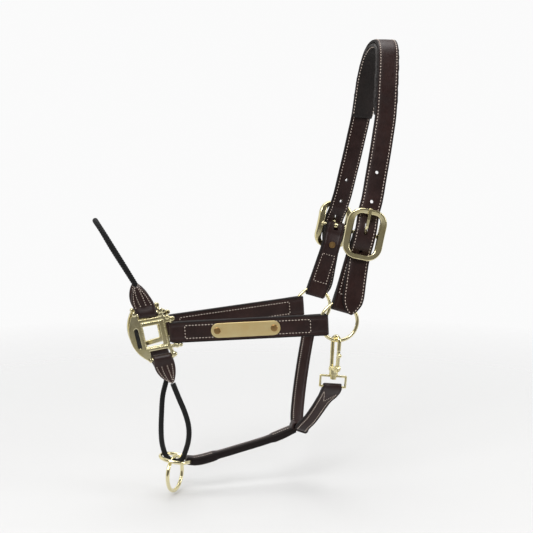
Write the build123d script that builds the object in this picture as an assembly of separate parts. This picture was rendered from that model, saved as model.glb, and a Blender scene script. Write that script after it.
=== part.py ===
from build123d import *
import math
import os

# Leather headcollar (halter) with brass hardware and a rope noseband.
# Millimetres. +Z up, +X from the nose towards the poll, -Y is the near (left) side.
# The origin is the poll rest: the inside of the crown's lining at the top of the head.

# ---- driving dimensions ----
STRAP_WIDTH = 25.0
CROWN_THICK = 3.8
PLY = 2.2                # one ply of folded leather
CLEAR = 0.3              # gap between pieces that don't fit each other
ROPE_DIAMETER = 6.0

RING_CENTRE = (-68.0, -60.0, -318.0)
RING_RADIUS = 22.0       # centre line of the wire
RING_WIRE = 2.0

BUCKLE_CENTRE = (-39.5, -62.5, -216.5)
BUCKLE_LEAN = 12.0       # degrees, the crown leg leans towards the tail
BUCKLE_TURN = -10.0      # degrees, the leg's rear edge stands further out
BUCKLE_WIDTH = 46.0
BUCKLE_HEIGHT = 59.0
BUCKLE_OPENING = (29.5, 46.5)
BUCKLE_DISH_RADIUS = 110.0
BUCKLE_THICK = 6.0
CENTRE_BAR = 2.2         # radius
TONGUE_WIDTH = 3.2

SQUARE_CENTRE = (-279.0, -19.0, -333.4)
SQUARE_TURN = 12.8       # degrees, the two squares converge towards the nose
SQUARE_LEAN = 11.0       # degrees in its own plane
SQUARE_THICK = 4.5
WINDOW = (20.0, 24.0)
OUTER_BAR = 2.0          # radius of the bars that carry leather

CHIN_RING_CENTRE = (-252.5, 0.0, -487.0)
CHIN_RING_TILT = 10.6    # degrees, lower towards the throat
CHIN_RING_RADIUS = 18.2
CHIN_RING_WIRE = 2.1
LEAD_RING_CENTRE = (-253.4, -1.4, -505.0)
LEAD_RING_RADIUS = 20.5
LEAD_RING_WIRE = 2.25
LEAD_RING_AZIMUTH = 58.0  # degrees, the ring's own plane, from +X

SNAP_BASE = (-74.2, -60.0, -380.0)
SNAP_LEAN = 4.4
SNAP_TURN = -67.0        # degrees, plane of the hook from +X
SNAP_EYE_HEIGHT = 39.0
SNAP_EYE_RADIUS = 6.0
SNAP_ROD = 2.3
LOOP_WIDTH = 29.4        # centre lines of the swivel loop's rod
LOOP_DROP = 12.7
LOOP_ROD = 1.3

PLATE_LENGTH = 80.0
PLATE_HEIGHT = 17.0
PLATE_THICK = 1.2
PLATE_RIVET_PITCH = 65.5


# ---- helpers ----
def save(shape, name):
    shape.label = name
    export_step(shape, f"parts/{name}.step")


def off_side(shape):
    return mirror(shape, about=Plane.XZ)


def unit_cross(first, second):
    return first.cross(second).normalized()


def section(centre, across, tangent, width, thick):
    """A strap's cross-section: width along across, thickness square to the run."""
    side = across.normalized() * (width / 2)
    lift = unit_cross(tangent, across) * (thick / 2)
    corners = [centre + side + lift, centre - side + lift, centre - side - lift, centre + side - lift]
    return Wire.make_polygon(corners, close=True)


def ribbon(stations):
    """A flat strap through stations of (centre, across, width, thickness)."""
    centres = [Vector(*station[0]) for station in stations]
    wires = []
    for index, (_, across, width, thick) in enumerate(stations):
        before = centres[max(index - 1, 0)]
        after = centres[min(index + 1, len(centres) - 1)]
        wires.append(section(centres[index], Vector(*across), after - before, width, thick))
    return Solid.make_loft(wires, ruled=True)


def rod(start, end, radius):
    """A round bar between two points."""
    start = Vector(*start)
    end = Vector(*end)
    plane = Plane(origin=start, z_dir=end - start)
    return plane * Pos(0, 0, (end - start).length / 2) * Cylinder(radius, (end - start).length)


def ring_at(centre, normal, radius, wire):
    return Plane(origin=centre, z_dir=normal) * Torus(radius, wire)


def blend(first, second, share):
    return tuple(a + (b - a) * share for a, b in zip(first, second))


def in_frame(plane, x, y, z):
    return tuple(plane.from_local_coords(Vector(x, y, z)))


def direction(plane, x, y, z):
    vector = plane.x_dir * x + plane.y_dir * y + plane.z_dir * z
    return tuple(vector)


# ---- local frames of the near side ----
def buckle_frame_plane():
    """x along the centre bar, y up the strap, z away from the horse."""
    lean = math.radians(BUCKLE_LEAN)
    turn = math.radians(BUCKLE_TURN)
    across = Vector(math.cos(lean) * math.cos(turn), math.sin(turn), -math.sin(lean) * math.cos(turn))
    up = Vector(math.sin(lean), 0, math.cos(lean))
    return Plane(origin=BUCKLE_CENTRE, x_dir=across, z_dir=across.cross(up))


def square_plane():
    """x towards the ring along the cheek, y up, z away from the horse."""
    turn = math.radians(SQUARE_TURN)
    lean = math.radians(SQUARE_LEAN)
    level = Vector(math.cos(turn), -math.sin(turn), 0)
    out = Vector(-math.sin(turn), -math.cos(turn), 0)
    x_dir = level * math.cos(lean) + Vector(0, 0, math.sin(lean))
    return Plane(origin=SQUARE_CENTRE, x_dir=x_dir, z_dir=out)


def snap_plane():
    """x across the hook from spine to gate, y up its swivel axis."""
    lean = math.radians(SNAP_LEAN)
    turn = math.radians(SNAP_TURN)
    up = Vector(math.sin(lean), 0, math.cos(lean))
    level = Vector(math.cos(turn), math.sin(turn), 0)
    across = level - up * level.dot(up)
    return Plane(origin=SNAP_BASE, x_dir=across, z_dir=across.cross(up))


def loop_plane():
    """x along the swivel loop's bars, y up its swivel axis."""
    lean = math.radians(SNAP_LEAN)
    up = Vector(math.sin(lean), 0, math.cos(lean))
    level = Vector(math.cos(math.radians(-12)), math.sin(math.radians(-12)), 0)
    across = level - up * level.dot(up)
    return Plane(origin=SNAP_BASE, x_dir=across, z_dir=across.cross(up))


BUCKLE = buckle_frame_plane()
SQUARE = square_plane()
SNAP = snap_plane()
LOOP = loop_plane()

# ---- crown ----
# The near half of the crown: place of the strap's middle, from the poll down to the buckle.
CROWN_TOP = [
    (0.5, 0.0, 7.1),
    (0.2, -10.0, 6.2),
    (-0.8, -20.0, 2.0),
    (-2.4, -29.0, -6.5),
    (-4.6, -36.5, -21.0),
    (-6.8, -41.5, -38.0),
    (-8.8, -45.5, -60.0),
    (-11.2, -48.8, -82.0),
    (-15.2, -51.8, -104.0),
    (-19.6, -54.6, -127.0),
    (-24.8, -57.6, -152.0),
    (-30.0, -60.6, -177.0),
]
# The same strap through the buckle, in the buckle's frame: y along the strap, z outward.
CROWN_IN_BUCKLE = [
    (27.5, -0.9), (22.5, -0.4), (16.5, 2.2), (10.0, 5.4), (3.0, 6.9), (-3.0, 6.9),
    (-10.5, 5.2), (-17.0, 2.0), (-22.5, -0.4), (-28.0, -0.6), (-33.0, -0.4),
]
# The free end below the buckle: middle and width, ending in a rounded point.
CROWN_END = [
    ((-49.6, -64.6, -266.0), 25.6),
    ((-52.8, -66.6, -286.0), 26.0),
    ((-54.2, -67.4, -294.0), 24.4),
    ((-55.4, -67.7, -301.0), 18.5),
    ((-56.0, -67.8, -306.0), 11.0),
    ((-56.4, -67.9, -309.0), 3.0),
]
CROWN_END_LEAN = 8.2                    # degrees, the free end hangs a little straighter
NEAR_HOLES = [-146.0, -179.0, -236.0]   # heights of the adjusting holes
OFF_HOLES = [-159.0, -186.0, -236.0]
HOLE_RADIUS = 2.0
TONGUE_HOLE = (6.8, 4.6, 13.2)          # place along the strap, width, length


def leg_across(height):
    """The legs turn their rear edges out towards the buckles."""
    share = min(max(-height / 160.0, 0.0), 1.0)
    turn = math.radians(BUCKLE_TURN * share)
    lean = math.radians(BUCKLE_LEAN * share)
    return (math.cos(turn) * math.cos(lean), math.sin(turn), -math.sin(lean) * math.cos(turn))


def near_crown_stations():
    stations = [(point, leg_across(point[2]), STRAP_WIDTH, CROWN_THICK) for point in CROWN_TOP]
    for along, out in CROWN_IN_BUCKLE:
        place = in_frame(BUCKLE, 0, along, out)
        stations.append((place, tuple(BUCKLE.x_dir), STRAP_WIDTH, CROWN_THICK))
    lean = math.radians(CROWN_END_LEAN)
    for place, width in CROWN_END:
        stations.append((place, (math.cos(lean), -0.03, -math.sin(lean)), width, CROWN_THICK))
    return stations


def mirrored(stations):
    return [((p[0], -p[1], p[2]), (a[0], -a[1], a[2]), w, t) for p, a, w, t in stations]


def point_at_height(stations, height):
    for upper, lower in zip(stations, stations[1:]):
        if upper[0][2] >= height >= lower[0][2]:
            share = (upper[0][2] - height) / (upper[0][2] - lower[0][2])
            return blend(upper[0], lower[0], share)
    raise ValueError("no strap at that height")


def strap_hole(stations, height):
    centre = point_at_height(stations, height)
    inner = (centre[0] - 1.5, centre[1] - 8, centre[2])
    outer = (centre[0] + 1.5, centre[1] + 8, centre[2])
    return rod(inner, outer, HOLE_RADIUS)


def tongue_slot():
    along, width, length = TONGUE_HOLE
    slot = extrude(Plane.XY * Pos(0, along) * SlotOverall(length, width, rotation=90), 14)
    return BUCKLE * slot


def crown_strap():
    near = near_crown_stations()
    strap = ribbon(list(reversed(near)) + mirrored(near)[1:])
    strap -= tongue_slot()
    strap -= off_side(tongue_slot())
    for height in NEAR_HOLES:
        strap -= strap_hole(near, height)
    for height in OFF_HOLES:
        strap -= off_side(strap_hole(near, height))
    return strap


PADDING_THICK = 5.0
PADDING_WIDTH = 31.0
PADDING_STATIONS = 8


def crown_padding():
    """The padded lining under the crown, from a third down one leg to the same place on the other."""
    near = near_crown_stations()[:PADDING_STATIONS]
    inward = CROWN_THICK / 2 + 0.15 + PADDING_THICK / 2
    stations = []
    for index, (place, across, _, _) in enumerate(near):
        before = near[max(index - 1, 0)][0]
        after = near[index + 1][0] if index + 1 < len(near) else place
        if index == 0:
            before = (near[1][0][0], -near[1][0][1], near[1][0][2])
        tangent = Vector(*after) - Vector(*before)
        out = unit_cross(tangent, Vector(*across))
        middle = Vector(*place) - out * inward
        last = index == len(near) - 1
        width = PADDING_WIDTH - 3 if last else PADDING_WIDTH
        stations.append((tuple(middle), across, width, PADDING_THICK))
    return ribbon(list(reversed(stations)) + mirrored(stations)[1:])


# ---- buckles ----
def buckle_frame():
    outline = RectangleRounded(BUCKLE_WIDTH, BUCKLE_HEIGHT, 17) - RectangleRounded(*BUCKLE_OPENING, 8)
    tall = extrude(Plane.XY.offset(-10) * outline, 30)
    lowest = -0.6
    centre = lowest + BUCKLE_DISH_RADIUS
    outer = Pos(0, 0, centre) * Rot(0, 90, 0) * Cylinder(BUCKLE_DISH_RADIUS, 80)
    inner = Pos(0, 0, centre) * Rot(0, 90, 0) * Cylinder(BUCKLE_DISH_RADIUS - BUCKLE_THICK, 80)
    frame = tall & (outer - inner)
    frame = fillet(frame.edges().filter_by(lambda edge: edge.length > 10), 1.6)
    bar = Rot(0, 90, 0) * Cylinder(CENTRE_BAR, BUCKLE_OPENING[0] + 8)
    return BUCKLE * (frame + bar)


def buckle_tongue():
    """Side view in the buckle's y-z plane: an eye on the centre bar and a pin over the top bar."""
    eye_radius = CENTRE_BAR + 1.9
    back = [(0, 2.6), (5.5, 3.6), (10.5, 7.4), (16.5, 8.8), (23.0, 9.8), (29.6, 9.9)]
    front = [(30.6, 10.8), (29.4, 11.9), (17.5, 11.4), (9.5, 9.8), (4.4, 6.2), (0, eye_radius)]
    side = Plane.YZ.offset(-TONGUE_WIDTH / 2) * make_face(Polyline(back + front, close=True))
    pin = extrude(side, TONGUE_WIDTH)
    eye = Rot(0, 90, 0) * Cylinder(eye_radius, TONGUE_WIDTH + 1.6)
    bore = Rot(0, 90, 0) * Cylinder(CENTRE_BAR + 0.08, 20)
    return BUCKLE * (pin + eye - bore)


# ---- cheek billets ----
BILLET_THICK = 5.2
BILLET_RING_THICK = 8.6
BILLET_PATH = [(-12.0, -3.0), (-22.0, -5.3), (-32.0, -5.7)]   # buckle frame: along, out
BILLET_RING_END = (-66.4, -60.0, -306.2)


def ring_tunnel():
    return ring_at(RING_CENTRE, (0, 1, 0), RING_RADIUS, RING_WIRE + CLEAR)


def cheek_billet():
    """Folded leather from the buckle's centre bar to the top of the cheek ring."""
    stations = [(in_frame(BUCKLE, 0, 0, -0.5), tuple(BUCKLE.x_dir), STRAP_WIDTH, BILLET_THICK)]
    for along, out in BILLET_PATH:
        place = in_frame(BUCKLE, along * 0.09, along, out)
        stations.append((place, tuple(BUCKLE.x_dir), STRAP_WIDTH, BILLET_THICK))
    last = stations[-1][0]
    level = (0.92, 0, -0.39)
    ring_thick = BILLET_RING_THICK
    swell = [(0.35, BILLET_THICK), (0.6, 6.2), (0.75, ring_thick), (0.95, ring_thick), (1.0, 5.0)]
    for share, thick in swell:
        turned = blend(tuple(BUCKLE.x_dir), level, min(share * 1.6, 1))
        stations.append((blend(last, BILLET_RING_END, share), turned, STRAP_WIDTH, thick))
    billet = ribbon(stations)
    hole_radius = CENTRE_BAR + CLEAR
    billet += BUCKLE * Rot(0, 90, 0) * Cylinder(hole_radius + PLY, STRAP_WIDTH)
    billet -= BUCKLE * Rot(0, 90, 0) * Cylinder(hole_radius, STRAP_WIDTH + 10)
    billet -= BUCKLE * Box(TONGUE_WIDTH + 2.6, 11.2, 14)
    return billet - ring_tunnel()


def billet_rivet():
    """A tubular rivet through the billet's plies below the buckle."""
    middle = Pos(-2.2, -24.5, -5.4)
    shank = Pos(0, 0, -0.25) * Cylinder(1.8, BILLET_THICK + 0.5)
    inner_head = Pos(0, 0, -BILLET_THICK / 2 - 0.8) * Cylinder(4.2, 1.0)
    return BUCKLE * middle * (shank + inner_head)


def rivet_bore():
    return BUCKLE * Pos(-2.2, -24.5, -5.4) * Cylinder(1.82, BILLET_THICK + 6)


# ---- cheek straps ----
CHEEK_THICK = 6.4
CHEEK_RING_THICK = 8.8
CHEEK_RING_END = (-80.5, -60.0, -320.6)
OFF_CHEEK_LIFT = 3.6     # the off strap reaches its ring a little higher


def cheek_start():
    return in_frame(SQUARE, 23.5, -0.6, 0)


def cheek_strap(lift):
    start = cheek_start()
    end = (CHEEK_RING_END[0], CHEEK_RING_END[1], CHEEK_RING_END[2] + lift)
    bar_way = direction(SQUARE, 0, 1, 0)
    level_way = (-0.05, 0, 1)
    stations = []
    for share, thick in [(0.0, 5.2), (0.06, CHEEK_THICK), (0.85, CHEEK_THICK), (0.92, CHEEK_RING_THICK),
                         (0.985, CHEEK_RING_THICK), (1.0, 5.6)]:
        turned = blend(bar_way, level_way, min(share * 4, 1))
        stations.append((blend(start, end, share), turned, STRAP_WIDTH, thick))
    strap = ribbon(stations)
    loop = SQUARE * Pos(23.5, -0.6, 0) * Rot(90, 0, 0) * Cylinder(OUTER_BAR + CLEAR + PLY, STRAP_WIDTH - 1)
    tunnel = SQUARE * Pos(23.5, -0.6, 0) * Rot(90, 0, 0) * Cylinder(OUTER_BAR + CLEAR, STRAP_WIDTH + 8)
    return strap + loop - tunnel - ring_tunnel()


def cheek_plane():
    """On the outer face of the near cheek strap: x along it, z outward."""
    start = Vector(*cheek_start())
    run = Vector(*CHEEK_RING_END) - start
    up = Vector(-0.05, 0, 1)
    out = unit_cross(run, up)
    return Plane(origin=start + out * (CHEEK_THICK / 2), x_dir=run, z_dir=out)


PLATE_MIDDLE = 84.0   # along the strap from the square's bar


def name_plate():
    plate = extrude(Pos(PLATE_MIDDLE, 0) * SlotOverall(PLATE_LENGTH, PLATE_HEIGHT), PLATE_THICK)
    plate = fillet(plate.faces().sort_by(Axis.Z)[-1].edges(), 0.4)
    for side in (-1, 1):
        plate -= Pos(PLATE_MIDDLE + side * PLATE_RIVET_PITCH / 2, 0) * Cylinder(1.7, 10)
    return cheek_plane() * Pos(0, 0, 0.1) * plate


def plate_rivet_bores():
    plane = cheek_plane()
    places = [PLATE_MIDDLE - PLATE_RIVET_PITCH / 2, PLATE_MIDDLE + PLATE_RIVET_PITCH / 2]
    return [plane * Pos(place, 0, 0) * Cylinder(1.62, 24) for place in places]


def name_plate_rivets():
    """Two rivets through the plate and the strap, each with a domed head."""
    plane = cheek_plane()
    rivets = []
    for side in (-1, 1):
        shank = Pos(0, 0, -CHEEK_THICK / 2 + 0.5) * Cylinder(1.6, CHEEK_THICK + 3.0)
        head = Pos(0, 0, PLATE_THICK + 0.75) * Cylinder(4.0, 1.2)
        head = fillet(head.edges().sort_by(Axis.Z)[-1], 0.9)
        back = Pos(0, 0, -CHEEK_THICK - 0.7) * Cylinder(3.6, 1.0)
        rivets.append(plane * Pos(PLATE_MIDDLE + side * PLATE_RIVET_PITCH / 2, 0) * (shank + head + back))
    return Compound(children=rivets)


# ---- halter squares ----
TOP_BAR = 26.5        # heights of the outer bars over the square's centre
SIDE_BAR = 23.5
LOW_BAR = -28.0
HORNS = [(-16.4, 28.4, 2.6), (14.2, 27.4, 2.8), (12.8, 22.6, 2.2), (25.8, 15.4, 2.7), (20.6, 18.4, 2.3),
         (25.6, -16.4, 2.6), (29.8, -16.6, 2.1), (20.4, -26.0, 2.8), (-8.4, -28.4, 2.4)]
HORN_HEIGHT = 5.4
INLAY = (-17.6, -0.6, 4.6, 24.0)   # middle, width, length


def square_outline():
    body = make_face(Polyline([(-13.5, 21.0), (17.5, 20.5), (17.5, -17.5), (-13.5, -17.5)], close=True))
    arch = ThreePointArc((-16.0, 30.0), (-27.0, 4.0), (-9.0, -29.5))
    plate = make_face(arch + Polyline((-9.0, -29.5), (-11.0, 0.0), (-16.0, 30.0)))
    corner_arms = [
        [(10.6, 19.0), (12.2, 29.0), (16.0, 28.0), (16.5, 19.0)],
        [(16.0, 12.6), (16.0, 20.0), (22.0, 18.6), (27.0, 17.2), (26.8, 12.8)],
        [(15.5, -14.0), (27.0, -14.1), (30.8, -16.2), (26.0, -18.4), (15.5, -17.4)],
        [(14.5, -16.5), (17.5, -28.6), (21.0, -26.5), (18.5, -15.0)],
        [(-12.8, 18.5), (-14.0, 29.5), (-18.5, 28.0), (-16.5, 15.0)],
        [(-12.0, -14.0), (-9.5, -30.0), (-6.6, -29.0), (-7.8, -16.0)],
    ]
    outline = body + plate
    for arm in corner_arms:
        outline += make_face(Polyline(arm, close=True))
    return outline - Rectangle(*WINDOW)


def square_grooves():
    """The fine groove round the window, cut in both faces."""
    groove = Pos(2.0, 1.5) * RectangleRounded(27.0, 31.0, 1.5)
    groove -= Pos(2.0, 1.5) * RectangleRounded(25.4, 29.4, 1.2)
    cut = extrude(Plane.XY.offset(SQUARE_THICK / 2 - 0.7) * groove, 2)
    return cut


def halter_square():
    half = SQUARE_THICK / 2
    casting = extrude(Plane.XY.offset(-half) * square_outline(), SQUARE_THICK)
    casting -= square_grooves()
    casting += rod((-15.0, TOP_BAR, 0), (13.0, TOP_BAR, 0), OUTER_BAR)
    casting += rod((SIDE_BAR, 15.0, 0), (SIDE_BAR, -16.0, 0), OUTER_BAR)
    casting += rod((-8.0, LOW_BAR, 0), (19.0, LOW_BAR, 0), OUTER_BAR)
    for x, y, radius in HORNS:
        knob = Cylinder(radius, HORN_HEIGHT)
        casting += Pos(x, y, 0) * chamfer(knob.edges().filter_by(GeomType.CIRCLE), 0.6)
    x, y, width, length = INLAY
    pocket = Pos(x, y, half - 0.6) * Rot(0, 0, 92) * extrude(SlotOverall(length + 0.1, width + 0.1), 3)
    return SQUARE * (casting - pocket)


def square_inlay():
    x, y, width, length = INLAY
    inlay = extrude(SlotOverall(length, width), 0.5)
    return SQUARE * Pos(x, y, SQUARE_THICK / 2 - 0.58) * Rot(0, 0, 92) * inlay


# ---- rope tabs ----
TAB_THICK = 7.4


def bar_loop(middle, height, width):
    """The fold round a level bar: outer sleeve and the tunnel it leaves."""
    sleeve = Pos(middle, height, 0) * Rot(0, 90, 0) * Cylinder(OUTER_BAR + CLEAR + PLY + 0.4, width)
    tunnel = Pos(middle, height, 0) * Rot(0, 90, 0) * Cylinder(OUTER_BAR + CLEAR, width + 14)
    return sleeve, tunnel


def nose_tab():
    left = ThreePointArc((-12.0, 26.5), (-16.6, 44.0), (-11.5, 57.5))
    tip = ThreePointArc((-11.5, 57.5), (-7.6, 59.6), (-3.2, 58.2))
    right = ThreePointArc((-3.2, 58.2), (6.0, 44.5), (10.0, 26.5))
    face = make_face(left + tip + right + Line((10.0, 26.5), (-12.0, 26.5)))
    leaf = extrude(Plane.XY.offset(-TAB_THICK / 2) * face, TAB_THICK)
    sleeve, tunnel = bar_loop(-1.0, TOP_BAR, 22.0)
    return SQUARE * (leaf + sleeve - tunnel)


def chin_tab():
    left = ThreePointArc((-5.4, -28.0), (-4.6, -43.5), (7.4, -57.4))
    tip = ThreePointArc((7.4, -57.4), (10.8, -58.8), (14.0, -56.0))
    right = ThreePointArc((14.0, -56.0), (17.8, -43.0), (16.8, -28.0))
    face = make_face(left + tip + right + Line((16.8, -28.0), (-5.4, -28.0)))
    leaf = extrude(Plane.XY.offset(-TAB_THICK / 2) * face, TAB_THICK)
    sleeve, tunnel = bar_loop(5.7, LOW_BAR, 22.0)
    return SQUARE * (leaf + sleeve - tunnel)


# ---- ropes ----
NOSE_ROPE = [
    (-297.9, -14.4, -274.6), (-308.0, -22.0, -257.0), (-321.0, -28.0, -235.0), (-334.0, -26.0, -213.0),
    (-341.5, -12.0, -201.0), (-341.5, 12.0, -201.0), (-334.0, 26.0, -213.0), (-321.5, 28.5, -236.0),
    (-308.0, 22.0, -258.0), (-297.9, 14.4, -274.6),
]
CHIN_ROPE = [
    (-257.2, -24.0, -390.3), (-251.0, -26.0, -407.0), (-243.5, -27.5, -425.0), (-239.0, -27.0, -443.0),
    (-239.0, -20.5, -461.0), (-241.5, -10.0, -476.0), (-245.8, -6.2, -490.1),
    (-261.0, 3.4, -490.1), (-267.0, 8.4, -475.0), (-267.5, 18.0, -460.0), (-266.0, 23.5, -440.0),
    (-264.5, 25.5, -418.0), (-261.0, 25.0, -403.0), (-257.2, 24.0, -390.3),
]


def corner_radii(points):
    vectors = [Vector(*point) for point in points]
    radii = []
    for before, corner, after in zip(vectors, vectors[1:], vectors[2:]):
        arriving = corner - before
        leaving = after - corner
        turn = math.radians(arriving.get_angle(leaving))
        shorter = min(arriving.length, leaving.length)
        radii.append(0.45 * shorter / math.tan(turn / 2))
    return radii


def rope(points, name):
    radii = corner_radii(points)
    print(name, "radii", [round(radius, 1) for radius in radii])
    path = FilletPolyline(*points, radius=radii)
    start = Plane(origin=path @ 0, z_dir=path % 0)
    tube = sweep(start * Circle(ROPE_DIAMETER / 2), path=path)
    ideal = math.pi * ROPE_DIAMETER ** 2 / 4 * path.length
    print(name, "length", round(path.length, 1))
    print(name, "volume over section x length", round(tube.volume / ideal, 4))
    return tube


# ---- chin and lead rings ----
def chin_ring_normal():
    tilt = math.radians(CHIN_RING_TILT)
    return (math.sin(tilt), 0, math.cos(tilt))


def chin_ring():
    return ring_at(CHIN_RING_CENTRE, chin_ring_normal(), CHIN_RING_RADIUS, CHIN_RING_WIRE)


def lead_ring():
    azimuth = math.radians(LEAD_RING_AZIMUTH)
    normal = (math.sin(azimuth), -math.cos(azimuth), 0)
    return ring_at(LEAD_RING_CENTRE, normal, LEAD_RING_RADIUS, LEAD_RING_WIRE)


# ---- jaw strap ----
JAW_PATH = [
    ((-239.4, 0, -489.6), 14.0, 4.6),
    ((-238.2, 0, -489.9), 14.0, 9.4),
    ((-230.0, 0, -491.2), 14.0, 9.8),
    ((-220.0, 0, -490.3), 13.5, 11.0),
    ((-204.0, 0, -486.6), 13.0, 11.0),
    ((-203.4, 0, -486.4), 10.5, 9.0),
    ((-189.0, 0, -483.2), 10.0, 9.0),
    ((-173.8, 0, -479.5), 10.0, 9.0),
    ((-149.1, 0, -473.5), 10.0, 9.0),
    ((-135.0, 0, -469.6), 10.5, 9.0),
    ((-134.4, 0, -469.4), 13.5, 10.4),
    ((-122.0, 0, -465.0), 14.0, 10.0),
    ((-112.0, 0, -461.0), 14.0, 9.0),
    ((-106.0, 0, -458.6), 14.0, 8.4),
]
THROAT_WIDTH = 16.0
THROAT_THICK = 4.8
JUNCTION = (-100.0, 0.0, -457.0)
JUNCTION_TURN = 21.0     # degrees, the strap's flat side at the bottom of the throat


def jaw_sleeve():
    """The jaw strap's end folded round the throat strap, as a sleeve along Y."""
    outer = RectangleRounded(THROAT_WIDTH + 2 * CLEAR + 5, THROAT_THICK + 2 * CLEAR + 5, 4.5)
    inner = RectangleRounded(THROAT_WIDTH + 2 * CLEAR + 0.6, THROAT_THICK + 2 * CLEAR + 0.6, 1.0)
    turn = math.radians(JUNCTION_TURN)
    plane = Plane(origin=JUNCTION, x_dir=(math.cos(turn), 0, -math.sin(turn)), z_dir=(0, 1, 0))
    sleeve = plane * Pos(0, 0, -7) * extrude(outer, 14)
    slot = plane * Pos(0, 0, -20) * extrude(inner, 40)
    return sleeve, slot


def jaw_strap():
    stations = [(place, (0, 1, 0), width, thick) for place, width, thick in JAW_PATH]
    strap = ribbon(stations)
    sleeve, slot = jaw_sleeve()
    tunnel = ring_at(CHIN_RING_CENTRE, chin_ring_normal(), CHIN_RING_RADIUS, CHIN_RING_WIRE + CLEAR)
    return strap + sleeve - slot - tunnel


# ---- throat strap ----
FOLD_ACROSS = tuple(LOOP.x_dir)
THROAT_PATH = [
    ((-70.6, 60.0, -332.5), (0.97, 0, 0.2), 15.0, 5.6),
    ((-71.0, 60.0, -334.0), (0.97, 0, 0.2), 16.0, 8.4),
    ((-72.4, 59.6, -343.0), (0.97, 0, 0.2), 16.0, 8.4),
    ((-74.0, 58.6, -351.0), (0.98, 0.03, 0.2), 16.0, 6.0),
    ((-77.0, 56.0, -363.0), (0.98, 0.05, 0.2), 16.0, THROAT_THICK),
    ((-84.0, 47.5, -390.0), (0.98, 0.10, 0.18), 16.0, THROAT_THICK),
    ((-91.0, 36.0, -417.0), (0.98, 0.12, 0.10), 16.0, THROAT_THICK),
    ((-96.5, 24.0, -438.0), (0.98, 0.12, 0.0), 16.0, THROAT_THICK),
    ((-99.4, 15.5, -450.8), (0.97, 0.06, -0.18), 16.0, THROAT_THICK),
    ((-100.0, 8.6, -457.0), (0.934, 0, -0.358), 16.0, THROAT_THICK),
    ((-100.0, -8.6, -457.0), (0.934, 0, -0.358), 16.0, THROAT_THICK),
    ((-97.4, -16.0, -450.6), (0.90, 0.03, -0.42), 16.0, THROAT_THICK),
    ((-92.0, -22.5, -442.0), (0.88, 0.05, -0.42), 16.0, THROAT_THICK),
    ((-86.0, -33.0, -427.5), (0.88, 0.0, -0.38), 16.0, THROAT_THICK),
    ((-81.0, -43.5, -413.5), (0.92, -0.08, -0.30), 17.0, THROAT_THICK),
    ((-77.0, -52.5, -403.0), (0.96, -0.15, -0.16), 21.0, 6.4),
    ((-75.6, -57.5, -397.5), (0.978, -0.208, -0.07), 22.0, 6.4),
    ((-75.15, -60.0, -392.6), FOLD_ACROSS, 22.0, 5.2),
]


def loop_bar_centre():
    return in_frame(LOOP, 0, -1.5 - LOOP_DROP, 0)


def throat_strap():
    """One strap from the off ring, under the throat and up to the snap's swivel loop."""
    strap = ribbon(THROAT_PATH)
    fold = LOOP * Pos(0, -1.5 - LOOP_DROP, 0) * Rot(0, 90, 0) * Cylinder(LOOP_ROD + CLEAR + PLY + 0.5, 22)
    bar = LOOP * Pos(0, -1.5 - LOOP_DROP, 0) * Rot(0, 90, 0) * Cylinder(LOOP_ROD + CLEAR, 40)
    return strap + fold - bar - off_side(ring_tunnel())


# ---- snap ----
SWIVEL_PIN = 1.9
GATE_PIVOT = (5.6, 8.5)
GATE_PIN = 0.9
NOSE_BOTTOM = 29.0
SPRING_OUTER = 2.1


def snap_hook():
    """Base boss, spine, eye and nose of the trigger snap."""
    eye = SNAP_EYE_RADIUS
    top = SNAP_EYE_HEIGHT
    spine = rod((-4.6, 5.0, 0), (-eye, top, 0), SNAP_ROD)
    arch = Pos(0, top, 0) * (Torus(eye, SNAP_ROD) & Pos(0, 10, 0) * Box(40, 20, 40))
    nose = rod((eye, top, 0), (eye, NOSE_BOTTOM, 0), SNAP_ROD)
    boss = Pos(0, 3.2, 0) * Rot(90, 0, 0) * Cylinder(5.2, 6.4)
    foot = Pos(0.6, 6.4, 0) * Box(13.0, 4.2, 6.4)
    cheeks = Pos(GATE_PIVOT[0], GATE_PIVOT[1], 0) * Cylinder(3.2, 6.4)
    hook = boss + foot + cheeks + spine + arch + nose
    slot = Pos(GATE_PIVOT[0] + 0.4, GATE_PIVOT[1] + 1.2, 0) * Box(9.4, 9.4, 3.4)
    hook -= slot
    hook -= Pos(GATE_PIVOT[0], GATE_PIVOT[1], 0) * Cylinder(GATE_PIN, 20)
    hook -= Pos(0, 3, 0) * Rot(90, 0, 0) * Cylinder(SWIVEL_PIN, 12)
    return SNAP * hook


def snap_gate():
    """The sprung gate: a lever with a thumb knob, closing against the nose."""
    lever = make_face(Polyline([(4.2, 7.0), (7.0, 7.0), (7.4, 12.0), (7.6, 24.0), (7.2, NOSE_BOTTOM - 0.4),
                                (4.4, NOSE_BOTTOM - 0.4), (4.4, 14.0), (4.0, 10.0)], close=True))
    gate = extrude(Plane.XY.offset(-1.5) * lever, 3.0)
    gate += Pos(GATE_PIVOT[0], GATE_PIVOT[1], 0) * Cylinder(3.0, 3.0)
    gate += Pos(8.2, 23.6, 0) * Sphere(2.5)
    gate -= Pos(GATE_PIVOT[0], GATE_PIVOT[1], 0) * Cylinder(SPRING_OUTER + 0.25, 1.5)
    gate -= Pos(GATE_PIVOT[0], GATE_PIVOT[1], 0) * Cylinder(GATE_PIN + 0.06, 20)
    return SNAP * gate


def snap_gate_pin():
    return SNAP * Pos(GATE_PIVOT[0], GATE_PIVOT[1], 0) * Cylinder(GATE_PIN - 0.01, 7.2)


def snap_swivel_pin():
    """The headed pin, riveted in the hook's boss, that turns in the loop's eye."""
    shank = Pos(0, 0.4, 0) * Rot(90, 0, 0) * Cylinder(SWIVEL_PIN - 0.01, 11.2)
    head = Pos(0, -4.6, 0) * Rot(90, 0, 0) * Cylinder(3.4, 1.6)
    return SNAP * (shank + head)


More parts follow.
